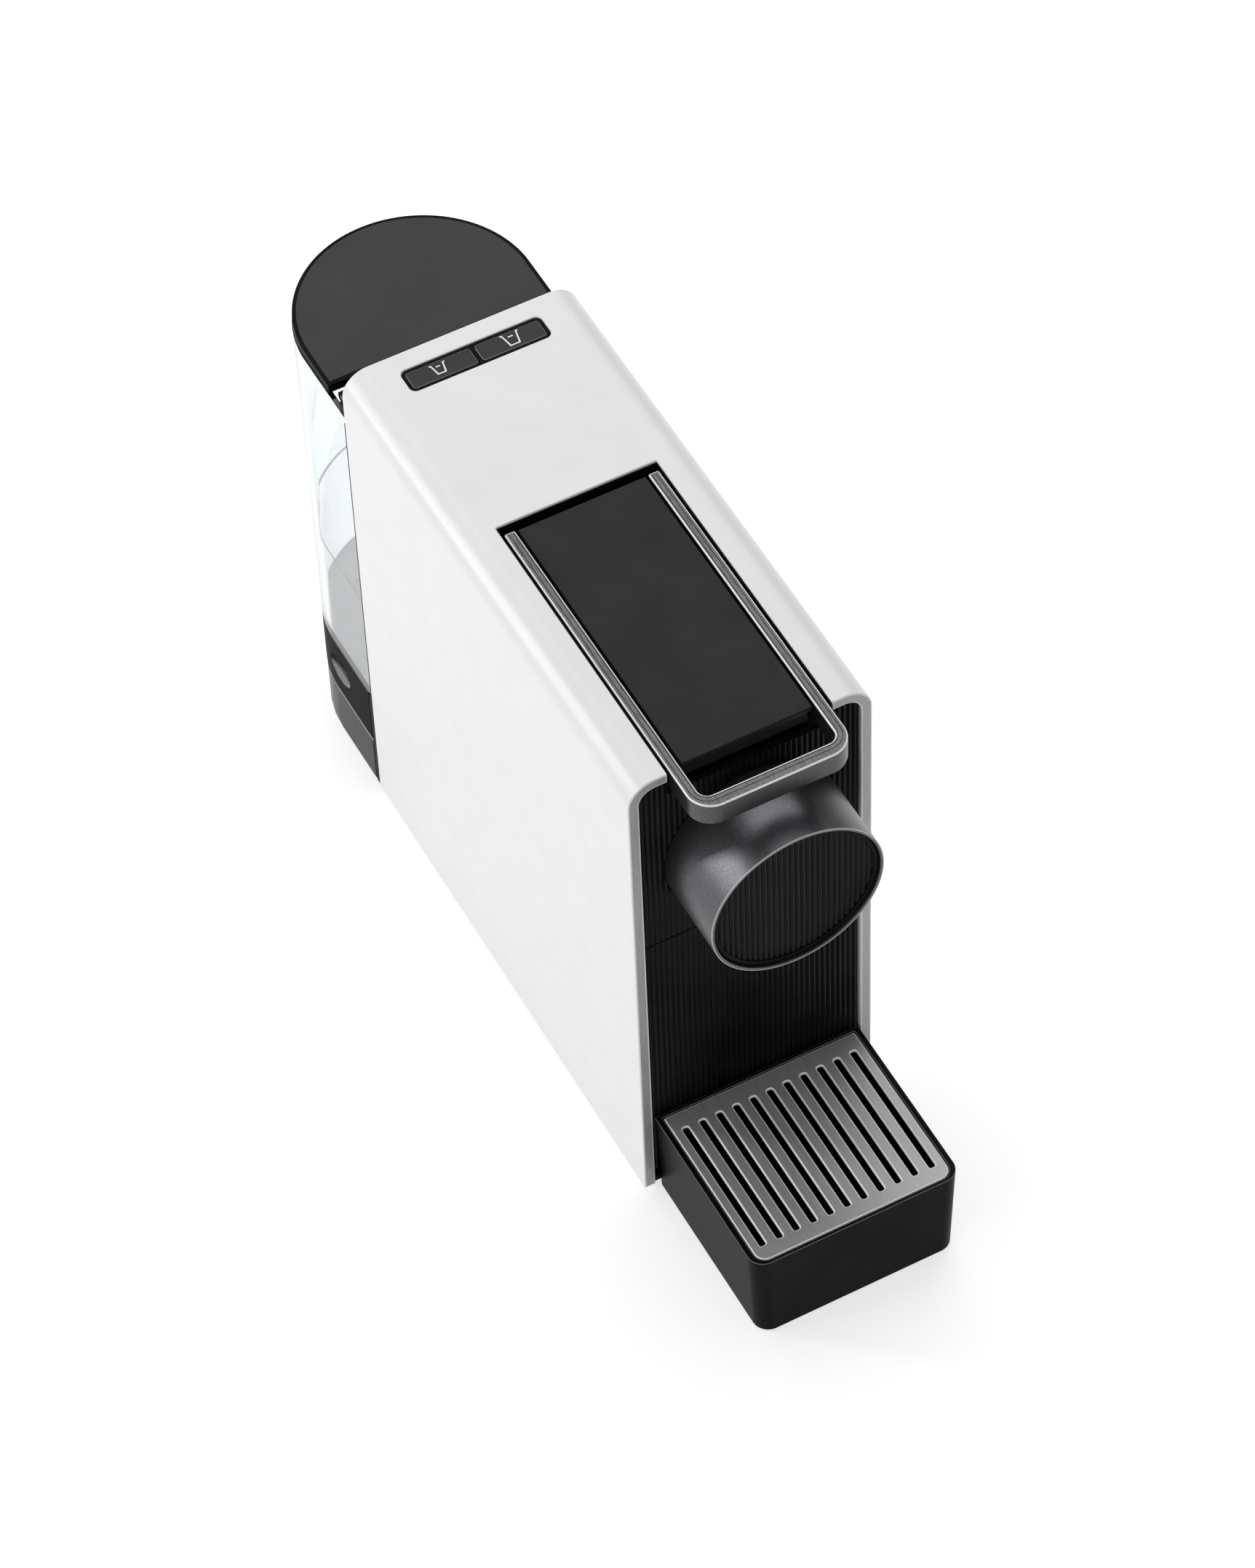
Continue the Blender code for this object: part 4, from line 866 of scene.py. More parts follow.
@dataclass
class Casing:
    """The glossy shell with its grey front rim of painted shade, the panel behind it, the floor
    and feet.
    """

    wall: float = 0.0042
    shoulder: float = 0.0103
    edge: float = 0.00045
    rim_margin: float = 0.0007
    rim_depth: float = 0.0003
    opening_side: float = 0.0013
    opening_rear: float = 0.0037
    flange: float = 0.003
    slot_corner: float = 0.0025
    lining: float = 0.0004
    panel_edge: float = 0.0004
    foot_edge: float = 0.0008
    foot_hollow: float = 0.0004
    foot_ring: Point = (0.45, 0.55)
    cross: Point = (0.0018, 0.00035)
    cross_depth: float = 0.0006

    def build(self) -> None:
        """Makes the shell, its rim, the rear panel and the underside."""
        low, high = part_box("outer_shell")
        self.low, self.high = low, high
        self.roof = through(high.z - self.wall, high.z)
        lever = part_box("lever_handle")[1]
        self.opening = (lever.x + self.opening_side, lever.y + self.opening_rear)
        self.shell()
        self.rim()
        self.liner()
        for node in ("rear_panel", "base_plate"):
            refined(node, BLACK, self.panel_edge)
        self.feet()

    def band(self, margin: float) -> list[Point]:
        """The end face's outline, set in from both of its sides."""
        inner = self.wall - margin
        outer = (self.high.x - margin, self.high.z - margin, self.shoulder - margin)
        inside = (self.high.x - inner, self.high.z - inner, self.shoulder - inner)
        return arch_band(outer, inside, self.low.z + margin)

    def mouth(self, margin: float) -> Solid:
        """The cutter of the lever's opening, widened by a margin."""
        half = self.opening[0] + margin
        y = (self.low.y - OVERCUT, self.opening[1])
        return Solid.block("mouth", (-half, half), y, self.roof)

    def shell(self) -> None:
        """The upturned U, with the lever's opening, the button slot and the rim's groove."""
        y = (self.low.y, self.high.y)
        solid = Solid.prism("casing_shell", self.band(0.0), *y, Axis.Y)
        frame_low, frame_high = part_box("button_frame")
        pad = rounded(
            frame_high.x - self.flange,
            (frame_high.y - frame_low.y) / 2 - self.flange,
            self.slot_corner,
            (0.0, centre_of("button_frame").y),
        )
        solid.cut(self.mouth(0.0), Solid.prism("pad_slot", pad, *self.roof))
        solid.soften(self.edge, 3)
        margin = self.rim_margin - 2 * INLAY
        y = (self.low.y - OVERCUT, self.low.y + self.rim_depth)
        groove = Solid.prism("rim_groove", self.band(margin), *y, Axis.Y)
        groove.cut(self.mouth(margin))
        solid.cut(groove).settle("machine", WHITE, "outer_shell")

    def rim(self) -> None:
        """The grey strip let into the shell's front end: painted shade on the end face."""
        y = (self.low.y + INLAY, self.low.y + self.rim_depth - INLAY)
        solid = Solid.prism("casing_rim", self.band(self.rim_margin), *y, Axis.Y)
        solid.cut(self.mouth(self.rim_margin)).settle("machine", SHADE_AND_HIGHLIGHT_GREY)

    def liner(self) -> None:
        """A black lining round the lever's opening, just below the casing's top: painted shade
        that keeps the gap round the lever dark.
        """
        half, rear = self.opening
        front = self.low.y + self.rim_depth + GAP
        z = (self.high.z - self.wall, self.high.z - 2 * self.edge)
        outer = half - INLAY
        solid = Solid.block("opening_liner", (-outer, outer), (front, rear - INLAY), z)
        inner = half - self.lining
        y = (front - OVERCUT, rear - self.lining)
        solid.cut(Solid.block("inside", (-inner, inner), y, through(*z)))
        solid.settle("machine", BLACK)

    def feet(self) -> None:
        """Ringed rubber feet, and screws with a cross in their heads."""
        for row in ("front", "rear"):
            for side in Side:
                node = f"foot_{row}_{side.label}"
                low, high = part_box(node)
                middle = centre_of(node)
                radius = (high.x - low.x) / 2
                edge, hollow = self.foot_edge, low.z + self.foot_hollow
                near, far = [radius * share for share in self.foot_ring]
                profile = [(0.0, hollow), (near, hollow), (far, low.z), (radius - edge, low.z)]
                profile += arc((radius - edge, low.z + edge), edge, -90, 0, 4)
                profile += [(radius, high.z), (0.0, high.z)]
                place = (middle.x, middle.y, 0.0)
                foot = Solid.turned(f"{node}_pad", profile, place, steps=40)
                foot.settle("machine", RUBBER, node)
                self.screw(f"screw_{row}_{side.label}")

    def screw(self, node: str) -> None:
        """A floor screw with a cross recess."""
        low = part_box(node)[0]
        middle = centre_of(node)
        solid = Solid.copied(f"{node}_skin", node)
        z = (low.z - OVERCUT, low.z + self.cross_depth)
        for half_x, half_y in (self.cross, self.cross[::-1]):
            x = (middle.x - half_x, middle.x + half_x)
            y = (middle.y - half_y, middle.y + half_y)
            solid.cut(Solid.block("cross", x, y, z))
        solid.settle("machine", STEEL, node)


@dataclass
class Front:
    """The ribbed fascia and the capsule container under it."""

    fluted: ShapeTree
    pitch: float = 0.00203
    relief: float = 0.0007
    corner: float = 0.0058
    notch_side: float = 0.0009
    notch_top: float = 0.001
    container_wall: float = 0.002
    container_edge: float = 0.0004
    inner_wall: float = 0.0025

    def build(self) -> None:
        """Makes the fascia and the container."""
        self.fascia()
        self.container()

    def panel(self, name: str, low: Vector, high: Vector, thickness: float) -> Solid:
        """A ribbed panel that fills a box's front."""
        middle = (low + high) / 2
        return self.fluted.grow(
            name,
            RIBBED,
            Width=high.x - low.x,
            Height=high.z - low.z,
            Thickness=thickness,
            Pitch=self.pitch,
            Relief=self.relief,
            Centre=(middle.x, low.y + thickness, middle.z),
        )

    def fascia(self) -> None:
        """The upper panel, cut round the head and under the lever."""
        low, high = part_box("front_fascia")
        solid = self.panel("fascia_ribs", low, high, high.y - low.y)
        outline = arch(high.x, low.z, high.z, self.corner)
        y = through(low.y, high.y)
        solid.keep(Solid.prism("fascia_outline", outline, *y, Axis.Y))
        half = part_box("lever_handle")[1].x + self.notch_side
        z = (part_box("lever_cover")[0].z - self.notch_top, high.z + OVERCUT)
        solid.cut(Solid.block("notch", (-half, half), y, z))
        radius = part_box("brew_head_housing")[1].x + GAP
        place = (0.0, 0.0, centre_of("brew_head_housing").z)
        hole = Solid.rod("head_hole", radius, *y, place, Axis.Y, ROUND)
        solid.cut(hole).settle("machine", RIBBED, "front_fascia")

    def container(self) -> None:
        """The open box behind the lower ribs."""
        low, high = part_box("capsule_container")
        wall = self.container_wall
        y = (low.y + wall, high.y)
        solid = Solid.block("container_box", (low.x, high.x), y, (low.z, high.z))
        x = (low.x + wall, high.x - wall)
        y = (low.y + self.inner_wall, high.y - wall)
        solid.cut(Solid.block("hollow", x, y, (low.z + wall, high.z + OVERCUT)))
        solid.soften(self.container_edge, 2)
        ribs = self.panel("ribs", low, high, wall + WELD)
        solid.join(ribs).settle("tray", RIBBED, "capsule_container")


@dataclass
class BrewHead:
    """The round metal head, its ribbed black disc and the spout."""

    fluted: ShapeTree
    wall: float = 0.0022
    lip: float = 0.0004
    mouth: float = 0.0012
    line: float = 0.0004
    collar: float = 0.004
    bead_edge: float = 0.0001
    ring: float = 0.0016
    ring_edge: float = 0.00025
    disc_drop: float = 0.0004
    pitch: float = 0.00205
    relief: float = 0.0006
    spout_bore: float = 0.0025
    spout_flare: Point = (0.0008, 0.001)
    spout_foot: float = 0.0016
    spout_turn: float = 0.0012
    spout_nose: float = 0.003

    def build(self) -> None:
        """Makes the tube, the disc in its mouth and the spout under it."""
        self.low, self.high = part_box("brew_head_housing")
        self.place = (0.0, 0.0, centre_of("brew_head_housing").z)
        self.tube()
        self.disc()
        self.spout()

    def tube(self) -> None:
        """The tube with a rolled lip, a step for the disc and a lighter bead round its mouth: a
        painted highlight.
        """
        radius = self.high.x
        bore = radius - self.wall
        inner = radius - self.mouth
        rim = radius - self.line
        front, back = self.low.y, self.high.y
        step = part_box("brew_head_cap")[1].y + GAP
        lip = self.lip
        profile = [(bore, back), (bore, step), (inner, step), (inner, front + lip)]
        profile += arc((inner + lip, front + lip), lip, 200, 270, 4)
        profile += [(rim, front), (rim, front + self.line), (radius, front + self.line)]
        profile += [(radius, front + self.collar), (radius, back)]
        solid = Solid.turned("head_tube", profile, self.place, Axis.Y, FINE)
        spout = centre_of("coffee_spout")
        hole = Solid.rod(
            "spout_hole",
            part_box("coffee_spout")[1].x - spout.x + GAP,
            self.low.z - OVERCUT,
            self.place[2] - radius / 2,
            (spout.x, spout.y, 0.0),
        )
        solid.cut(hole).settle("machine", HEAD, "brew_head_housing")
        # The lighter bead round the mouth is a painted highlight.
        near, far, edge = front + self.line - INLAY, rim + INLAY, self.bead_edge
        bead = [(far, near), (far, front), (radius - edge, front), (radius, front + edge)]
        bead.append((radius, near))
        ring = Solid.turned("mouth_line", bead, self.place, Axis.Y, FINE)
        ring.settle("machine", SHADE_AND_HIGHLIGHT_GREY)

    def disc(self) -> None:
        """The ribbed disc, with a plain raised ring round its edge."""
        low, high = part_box("brew_head_cap")
        radius = self.high.x - self.mouth - GAP
        inner = radius - self.ring
        ribs = self.fluted.grow(
            "head_disc_ribs",
            RIBBED,
            Width=2 * radius,
            Height=2 * radius,
            Thickness=high.y - low.y - self.disc_drop,
            Pitch=self.pitch,
            Relief=self.relief,
            Centre=(0.0, high.y, centre_of("brew_head_cap").z),
        )
        y = through(low.y, high.y)
        ribs.keep(Solid.rod("round", inner + WELD, *y, self.place, Axis.Y, ROUND))
        ribs.settle("machine", RIBBED, "brew_head_cap")
        edge = self.ring_edge
        profile = [(inner, high.y), (inner, low.y + edge), (inner + edge, low.y)]
        profile += [(radius - edge, low.y), (radius, low.y + edge), (radius, high.y)]
        ring = Solid.turned("head_disc_ring", profile, self.place, Axis.Y, ROUND)
        ring.settle("machine", BLACK)

    def spout(self) -> None:
        """The spout with its rounded nose and bore."""
        low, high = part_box("coffee_spout")
        middle = centre_of("coffee_spout")
        radius, bore = high.x, self.spout_bore
        flare, rise = self.spout_flare
        foot, turn = radius - self.spout_foot, self.spout_turn
        profile = [(bore, high.z), (bore, low.z + rise), (bore + flare, low.z), (foot, low.z)]
        profile += arc((foot, low.z + turn), turn, -90, -20, 4)
        profile += [(radius, low.z + self.spout_nose), (radius, high.z)]
        solid = Solid.turned("spout_nose", profile, (middle.x, middle.y, 0.0), steps=48)
        solid.settle("machine", BLACK, "coffee_spout")


@dataclass
class Lever:
    """The U-shaped handle, the flat cover inside it and their pins."""

    rail: float = 0.004
    bar: float = 0.0052
    radius: float = 0.009
    edge: float = 0.0006
    grooves: tuple[float, ...] = (0.0008, 0.0024)
    groove_width: float = 0.00025
    groove_depth: float = 0.0006
    brow: float = 0.0028
    groove_end: float = 0.001
    depth: float = 0.0095
    lug: float = 0.004
    lug_drop: float = 0.0012
    hole: float = 0.0017
    pin_edge: float = 0.0002
    wall: float = 0.0022
    cover_edge: float = 0.0005

    def build(self) -> None:
        """Makes the handle and the cover, and dresses the pins."""
        self.handle()
        self.cover()
        for side in Side:
            refined(f"lever_pin_{side.label}", STEEL, self.pin_edge)

    def bend(self, half: float, front: float, turn: float, rear: float) -> list[Point]:
        """A U-shaped path from the right leg's end round the crossbar to the left leg's end."""
        right = arc((half - turn, front + turn), turn, 0, -90, BEND)
        left = arc((turn - half, front + turn), turn, -90, -180, BEND)
        return [(half, rear)] + right + left + [(-half, rear)]

    def track(self, near: float, far: float, rear: float) -> list[Point]:
        """The strip that follows the handle between two distances from its inner edge."""
        half = self.high.x - self.rail
        front = self.low.y + self.bar
        turn = self.radius - self.bar
        outer = self.bend(half + far, front - far, turn + far, rear)
        inner = self.bend(half + near, front - near, turn + near, rear)
        return outer + inner[::-1]

    def handle(self) -> None:
        """The handle, with two fine grooves along its top and lugs for the pins."""
        self.low, self.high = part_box("lever_handle")
        pivot = centre_of("lever_pin_left")
        rear, top = self.high.y, self.high.z
        outer = self.bend(self.high.x, self.low.y, self.radius, rear)
        half = self.high.x - self.rail
        inner = self.bend(half, self.low.y + self.bar, self.radius - self.bar, rear)
        solid = Solid.prism("handle_frame", outer + inner[::-1], top - self.depth, top)
        y = (pivot.y - self.lug, pivot.y + self.lug)
        for side in Side:
            x = side.span(half, self.high.x)
            solid.join(Solid.block("lug", x, y, (self.low.z, top - self.lug_drop)))
        solid.soften(self.edge, 3)
        z = (top - self.groove_depth, top + OVERCUT)
        for near in self.grooves:
            path = self.track(near, near + self.groove_width, rear - self.groove_end)
            solid.cut(Solid.prism("groove", path, *z))
        x = through(self.low.x, self.high.x)
        place = (0.0, pivot.y, pivot.z)
        solid.cut(Solid.rod("pin_hole", self.hole, *x, place, Axis.X, 32))
        solid.settle("lever", LEVER, "lever_handle")

    def cover(self) -> None:
        """The satin cover, hollow underneath, with a thin brow over its front."""
        low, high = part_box("lever_cover")
        wall = self.wall
        solid = Solid.block("cover_plate", (low.x, high.x), (low.y, high.y), (low.z, high.z))
        x = (low.x + wall, high.x - wall)
        y = (low.y + wall + self.brow, high.y - wall)
        z = (low.z - OVERCUT, high.z - wall)
        hollow = Solid.block("hollow", x, y, z)
        y = (low.y - OVERCUT, low.y + self.brow)
        under = Solid.block("under_brow", through(low.x, high.x), y, z)
        solid.cut(hollow, under).soften(self.cover_edge, 3)
        solid.settle("lever", COVER, "lever_cover")


@dataclass
class DripTray:
    """The tray with its rim, and the slotted plate that lies in it."""

    slots: ShapeTree
    radius: float = 0.006
    wall: float = 0.0026
    ledge: float = 0.0012
    draft: float = 0.0016
    shoulder: float = 0.0008
    edge: float = 0.0006
    slot_count: int = 11
    slot_pitch: float = 0.00663
    slot_width: float = 0.0024
    slot_depth: float = 0.004
    slot_front: float = 0.005
    slot_rear: float = 0.006
    sled: float = 0.0033

    def build(self) -> None:
        """Makes the tray and the plate."""
        self.low, self.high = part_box("drip_tray")
        self.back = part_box("drip_grate")[1].y + self.wall - self.ledge + GAP
        self.tray()
        self.grate()

    def outline(self, inset: float, back: float, narrowing: float = 0.0) -> list[Point]:
        """The tray from above, set in by inset all round and further in on its two sides."""
        half = self.high.x - inset - narrowing
        front = self.low.y + inset
        turn = self.radius - inset
        points = [(half, back), (-half, back)]
        points += arc((turn - half, front + turn), turn, 180, 270, BEND)
        return points + arc((half - turn, front + turn), turn, 270, 360, BEND)

    def tray(self) -> None:
        """The basin with a stepped rim, and the sled that carries the container."""
        top = self.high.z
        outlines = (self.outline(0.0, self.back, self.draft), self.outline(0.0, self.back))
        solid = Solid.lofted("tray_basin", outlines, self.low.z, top)
        back = self.back - self.wall
        floor = self.outline(self.wall, back, self.shoulder + self.draft)
        basin = self.outline(self.wall, back, self.shoulder)
        step = self.outline(self.wall - self.ledge, back + self.ledge, self.shoulder)
        solid.cut(
            Solid.lofted("basin", (floor, basin), self.low.z + self.wall, top + OVERCUT),
            Solid.prism("step", step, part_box("drip_grate")[0].z - GAP, top + OVERCUT),
        )
        solid.soften(self.edge, 3)
        half = self.high.x - self.draft
        y = (self.back - self.wall / 2, self.high.y)
        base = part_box("capsule_container")[0].z
        sled = Solid.block("sled", (-half, half), y, (base - self.sled, base - GAP))
        solid.join(sled).settle("tray", TRAY, "drip_tray")

    def grate(self) -> None:
        """The brushed plate with its row of slots."""
        low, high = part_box("drip_grate")
        inset = self.wall - self.ledge + GAP
        plate = self.outline(inset, high.y, self.shoulder)
        solid = Solid.prism("grate_plate", plate, low.z, high.z)
        y = (self.low.y + self.wall + self.slot_front, self.back - self.wall - self.slot_rear)
        cutters = self.slots.grow(
            "slots",
            GRATE,
            Count=self.slot_count,
            Pitch=self.slot_pitch,
            Width=self.slot_width,
            Length=y[1] - y[0],
            Depth=self.slot_depth,
            Centre=(0.0, sum(y) / 2, low.z - OVERCUT),
        )
        solid.cut(cutters).soften(self.edge, 3).settle("grate", GRATE, "drip_grate")


class Cup(Enum):
    """The two drinks: the first words of the button's node, its side and its drawing's height."""

    SMALL = ("small_cup", Side.LEFT, 0.0049)
    LARGE = ("large_cup", Side.RIGHT, 0.0058)


@dataclass
class ButtonPad:
    """The two cup buttons in their black frame, with a cup drawn on each."""

    frame_edge: float = 0.00025
    key_edge: float = 0.0003
    board_edge: float = 0.0001
    line: float = 0.00045
    ink: Point = (-0.0001, 0.00003)
    icon_shift: float = 0.0007
    brim: float = 0.52
    base: float = 0.34
    fill: float = 0.18
    fill_half: float = 0.16

    def build(self) -> None:
        """Makes the frame, the buttons and the drawings, and dresses the switches."""
        refined("button_frame", BLACK, self.frame_edge)
        for cup in Cup:
            name, side, size = cup.value
            node = f"{name}_button"
            refined(node, KEYS, self.key_edge, 3)
            middle, top = centre_of(node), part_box(node)[1].z
            at = (middle.x + side.value * self.icon_shift, middle.y + self.icon_shift / 2)
            self.drawing(f"{name}_icon", at, size, top, body_of(node))
            refined(f"{name}_switch", GREY, self.key_edge)
        refined("control_board", BOARD, self.board_edge)

    def drawing(self, name: str, at: Point, size: float, top: float, body: str) -> None:
        """A cup in outline, with a short bar for its fill.

        Args:
            name: The drawing's name.
            at: Its middle.
            size: Its height.
            top: The button's upper face.
            body: The button's body.
        """
        upper, lower = size * self.brim, size * self.base
        half, line = size / 2, self.line
        z = (top + self.ink[0], top + self.ink[1])
        shape = [(-upper, half), (-lower, -half), (lower, -half), (upper, half)]
        hollow = [(line - upper, size), (line - upper, half), (line - lower, line - half)]
        hollow += [(lower - line, line - half), (upper - line, half), (upper - line, size)]
        outline = [(at[0] + u, at[1] + v) for u, v in shape]
        inside = [(at[0] + u, at[1] + v) for u, v in hollow]
        solid = Solid.prism(name, outline, *z)
        solid.cut(Solid.prism("inside", inside, *through(*z)))
        for side in Side:
            near, far = side.span(upper - line, upper + line)
            y = (at[1] + half - line, at[1] + half)
            solid.join(Solid.block("lip", (at[0] + near, at[0] + far), y, z))
        bar, level = size * self.fill_half, at[1] + size * self.fill
        solid.join(Solid.block("bar", (at[0] - bar, at[0] + bar), (level, level + line), z))
        solid.settle(body, INK)


@dataclass
class WaterTank:
    """The clear tank, its valve, the hinge strip and the lid."""

    wall: float = 0.002
    floor: float = 0.0025
    edge: float = 0.0005
    step_at: float = 0.103
    step: float = 0.0006
    valve_hole: float = 0.0078
    small_edge: float = 0.0003
    pin_edge: float = 0.0001
    lid_start: float = 0.0141
    lid_edge: float = 0.0004
    seal: float = 0.0014
    seal_drop: float = 0.0003
    seal_edge: float = 0.00025
    hinge_reach: float = 0.0006
    hinge_drop: float = 0.0008

    def build(self) -> None:
        """Makes the tank and the lid, and refines the small pieces."""
        self.tank()
        self.lid()
        for node, finish in (
            ("tank_valve", BLACK),
            ("valve_plunger", STEEL),
            ("lid_hinge_strip", BLACK),
        ):
            refined(node, finish, self.small_edge)
        for side in Side:
            refined(f"lid_pin_{side.label}", STEEL, self.pin_edge)

    def tank(self) -> None:
        """The open clear vessel, its wall thicker low down, with a hole for its valve."""
        low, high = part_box("water_tank")
        solid = Solid.prism("tank_vessel", d_outline(high.x, low.y, high.y), low.z, high.z)
        for name, inset, bottom in (
            ("upper", self.wall, self.step_at),
            ("lower", self.wall + self.step, low.z + self.floor),
        ):
            inner = d_outline(high.x - inset, low.y + inset, high.y - inset)
            solid.cut(Solid.prism(f"{name}_hollow", inner, bottom, high.z + OVERCUT))
        middle = centre_of("tank_valve")
        z = through(low.z, low.z + self.floor)
        solid.cut(Solid.rod("valve_hole", self.valve_hole, *z, (middle.x, middle.y, 0.0)))
        solid.soften(self.edge, 3).settle("tank", TANK, "water_tank")

    def lid(self) -> None:
        """The lid's plate, the black seal round it, and the hinge lugs under its front."""
        low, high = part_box("tank_lid")
        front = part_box("lid_hinge_strip")[0].y + self.lid_start
        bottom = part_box("water_tank")[1].z + GAP
        seal = self.seal
        outline = d_outline(high.x - seal, front + seal, high.y - seal)
        plate = Solid.prism("lid_plate", outline, bottom, high.z)
        plate.soften(self.lid_edge, 3)
        outer = d_outline(high.x, front, high.y)
        band = Solid.prism("lid_seal", outer, bottom, high.z - self.seal_drop)
        seal -= INLAY
        inside = d_outline(high.x - seal, front + seal, high.y - seal)
        band.cut(Solid.prism("inside", inside, *through(bottom, high.z)))
        band.soften(self.seal_edge, 2)
        lugs = Solid.copied("hinge_lugs", "tank_lid")
        y = (low.y - OVERCUT, front + self.hinge_reach)
        z = (low.z - OVERCUT, high.z - self.hinge_drop)
        lugs.keep(Solid.block("hinge_part", through(low.x, high.x), y, z))
        plate.settle("lid", LID, "tank_lid")
        band.join(lugs).settle("lid", BLACK)


@dataclass
class Dock:
    """What the tank stands on: the dark cup, the skirt round its core, the spine and two seams."""

    edge: float = 0.0005
    seam: float = 0.001
    seam_edge: float = 0.0002
    seam_gap: float = 0.0001
    seam_side: float = 0.0002
    seam_ends: Point = (0.0005, 0.001)
    well_margin: float = 0.002
    dish: Place = (0.0024, 0.0095, 0.0068)
    dish_out: float = 0.00096
    dish_at: float = 0.0255
    slot: Place = (0.005, 0.0009, 0.0008)
    slot_depth: Point = (0.0035, 0.0011)

    def build(self) -> None:
        """Makes the cup with its dishes and the seams, and refines the rest."""
        self.cup()
        self.seams()
        refined("dock_skirt", SMOKE, 0.0007, 3)
        refined("dock_base", DOCK, 0.0004)
        refined("dock_spine", BLACK, 0.0004)
        refined("dock_seal", RUBBER, 0.0004)
        refined("cord_gland", RUBBER, 0.0006, 3)

    def seams(self) -> None:
        """A slim black strip down each side, where the casing's rear edge meets the tank."""
        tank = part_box("water_tank")[1]
        low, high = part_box("outer_shell")
        front = high.y + self.seam_gap
        z = (low.z + self.seam_ends[0], tank.z - self.seam_ends[1])
        for side in Side:
            x = side.span(tank.x + self.seam_side, high.x - self.seam_side)
            strip = Solid.block(f"rear_seam_{side.label}", x, (front, front + self.seam), z)
            strip.soften(self.seam_edge, 2).settle("machine", BLACK)

    def cup(self) -> None:
        """The cup: the frame's recess in a finely curved body, with an oval dish on each side."""
        low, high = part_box("tank_dock")
        solid = Solid.prism("dock_cup", d_outline(high.x, low.y, high.y), low.z, high.z)
        core = Solid.copied("recess", "tank_dock")
        middle = centre_of("dock_seal")
        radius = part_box("dock_seal")[1].x - middle.x + self.well_margin
        place = (middle.x, middle.y, 0.0)
        z = through(low.z, high.z)
        solid.soften(self.edge, 3)
        solid.cut(Solid.rod("well", radius, *z, place))
        core.keep(Solid.rod("plug", radius + WELD, *z, place))
        solid.join(core)
        at = (low.y + self.dish_at, (low.z + high.z) / 2)
        for side in Side:
            self.scoop(solid, side, high.x, at)
        solid.settle("machine", DOCK, "tank_dock")

    def scoop(self, solid: Solid, side: Side, half: float, at: Point) -> None:
        """Scoops an oval dish from one side and lays a black slot in it.

        Args:
            solid: The cup.
            side: The side to scoop.
            half: The cup's half width.
            at: The dish's middle, along and up.
        """
        ball = bmesh.new()
        bmesh.ops.create_icosphere(ball, subdivisions=4, radius=1.0)
        scale = Matrix.Diagonal((*self.dish, 1.0))
        ball.transform(Matrix.Translation((side.value * (half + self.dish_out), *at)) @ scale)
        solid.cut(Solid(f"scoop_{side.label}", ball))
        slot = rounded(*self.slot, at, 4)
        x = side.span(half - self.slot_depth[0], half - self.slot_depth[1])
        mark = Solid.prism(f"dock_slot_{side.label}", slot, *x, Axis.X)
        mark.settle("machine", RIBBED)


@dataclass
class BrewUnit:
    """What brews: the cheeks, the chute, the outlet plate and the sliding cage."""

    def build(self) -> None:
        """Refines each piece of the unit."""
        for side in Side:
            refined(f"brew_cheek_{side.label}", GREY, 0.0003)
        refined("brew_outlet_plate", INNER, 0.0004)
        refined("capsule_chute", INNER, 0.0003)
        refined("brew_carriage", GREY, 0.0005, 3)


@dataclass
class WaterWorks:
    """The pump, heater and flow meter with their hoses."""

    def build(self) -> None:
        """Refines each piece and smooths the hoses."""
        refined("water_pump", STEEL, 0.0006, 3)
        refined("pump_bracket", STEEL, 0.0002)
        for row in ("front", "rear"):
            refined(f"pump_mount_{row}", RUBBER, 0.0008, 3)
        refined("heater_block", ALUMINIUM, 0.0008, 3)
        refined("flow_meter_body", GREY, 0.0003)
        refined("flow_meter_cover", GREY, 0.0002)
        refined("flow_meter_rotor", BLACK, 0.0002)
        for node in ("tank_hose", "pump_inlet_hose", "heater_hose", "brew_hose"):
            refined(node, SILICONE, 0.0003)


@dataclass(frozen=True)
class SoftBox:
    """A rectangular area light: where it hangs, what it points at, its two sides and its watts."""

    name: str
    at: Place
    aim: Place
    size: Point
    power: float

    def hang(self) -> None:
        """Makes the light and turns it to its aim."""
        data = bpy.data.lights.new(self.name, "AREA")
        data.shape = "RECTANGLE"
        data.size, data.size_y = self.size
        data.energy = self.power
        light = bpy.data.objects.new(self.name, data)
        light.location = self.at
        way = Vector(self.aim) - Vector(self.at)
        light.rotation_euler = way.to_track_quat("-Z", "Y").to_euler()
        bpy.context.scene.collection.objects.link(light)


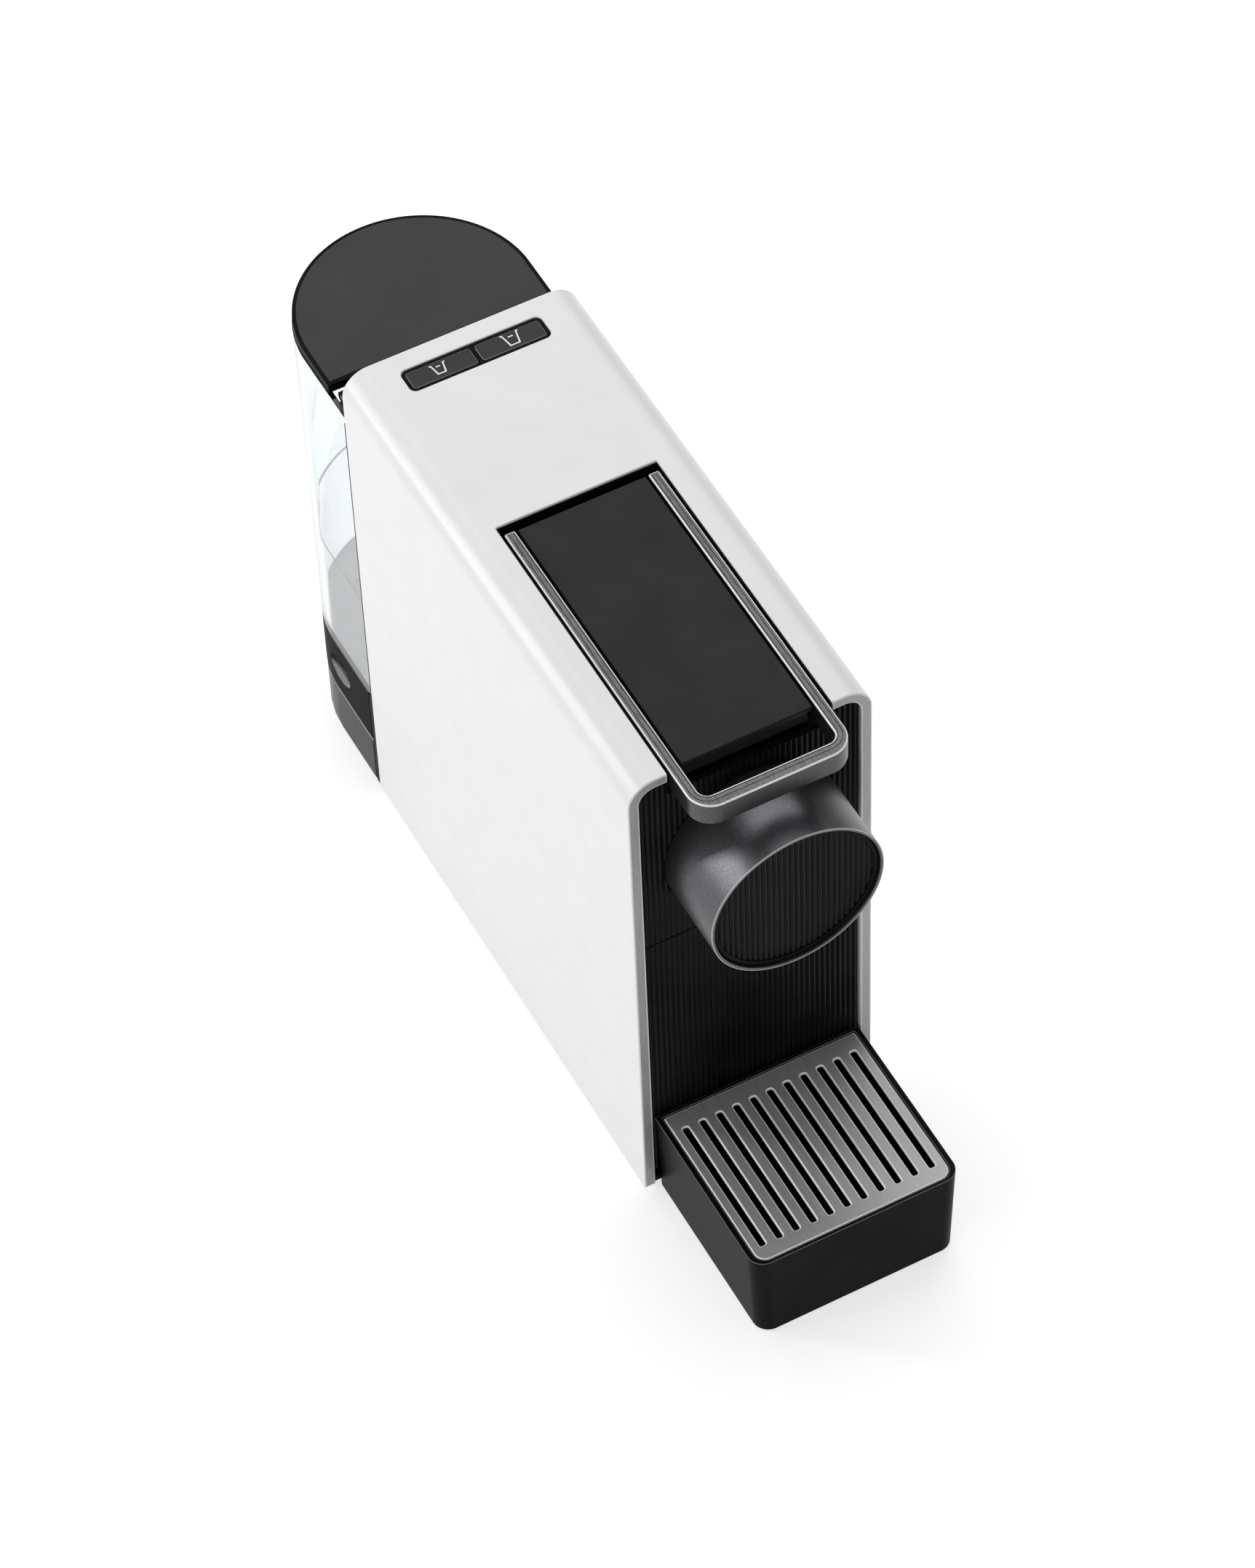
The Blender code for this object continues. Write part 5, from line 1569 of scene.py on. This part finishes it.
@dataclass
class Studio:
    """The pale floor, the soft lights and the camera."""

    floor_size: float = 12.0
    floor_shades: Point = (0.5, 0.52)
    floor_glow: float = 0.62
    sky: float = 0.5
    boxes: tuple[SoftBox, ...] = (
        SoftBox("left_box", (-1.6, -0.3, 1.1), (0.0, 0.0, 0.1), (1.4, 1.4), 6.0),
        SoftBox("top_box", (0.5, 1.1, 1.85), (0.0, 0.0, 0.1), (2.0, 2.0), 26.0),
        SoftBox("rear_strip", (-1.6, 1.2, 0.75), (0.0, 0.0, 0.15), (0.3, 1.3), 14.0),
    )
    lens: float = 138.13
    sensor: float = 36.0
    far: float = 50.0
    eye: Place = (-0.57325, -1.18884, 1.73687)
    turn: Place = (38.602, 1.662, -28.100)

    def build(self) -> None:
        """Makes the floor, lights and camera."""
        self.floor()
        self.lights()
        self.camera()
        bpy.context.scene.view_settings.view_transform = "Standard"

    def floor(self) -> None:
        """A wide white sheet under the machine."""
        bm = bmesh.new()
        bmesh.ops.create_grid(bm, x_segments=1, y_segments=1, size=self.floor_size / 2)
        solid = Solid("studio_floor", bm)
        paint = Paint("studio_white")
        speck = paint.noise(3.0, 2.0)
        dark, light = [(shade, shade, shade) for shade in self.floor_shades]
        paint.set(Base_Color=paint.blend(dark, light, speck))
        paint.set(Roughness=0.9, Specular_IOR_Level=0.1)
        paint.set(Emission_Color=(1.0, 1.0, 1.0), Emission_Strength=self.floor_glow)
        solid.obj.data.materials.append(paint.material)

    def lights(self) -> None:
        """The soft boxes and an even sky."""
        world = bpy.data.worlds.new("studio_sky")
        world.use_nodes = True
        background = world.node_tree.nodes["Background"]
        background.inputs["Color"].default_value = (1.0, 1.0, 1.0, 1.0)
        background.inputs["Strength"].default_value = self.sky
        bpy.context.scene.world = world
        for box in self.boxes:
            box.hang()

    def camera(self) -> None:
        """The camera: a long lens, high at the front left."""
        data = bpy.data.cameras.new("studio_camera")
        data.lens = self.lens
        data.sensor_width = self.sensor
        data.sensor_fit = "AUTO"
        data.clip_end = self.far
        camera = bpy.data.objects.new("studio_camera", data)
        camera.location = self.eye
        camera.rotation_euler = Euler([math.radians(angle) for angle in self.turn], "XYZ")
        bpy.context.scene.collection.objects.link(camera)
        bpy.context.scene.camera = camera


def main() -> None:
    """Builds the sub-assemblies in order, then the studio."""
    logging.basicConfig(level=logging.INFO, format="%(name)s: %(message)s")
    fluted = fluted_tree()
    slots = slot_row_tree()
    for part in (
        Casing(),
        Front(fluted),
        BrewHead(fluted),
        Lever(),
        DripTray(slots),
        ButtonPad(),
        WaterTank(),
        Dock(),
        BrewUnit(),
        WaterWorks(),
        Studio(),
    ):
        LOG.info("building %s", type(part).__name__)
        part.build()


if __name__ == "__main__":
    main()
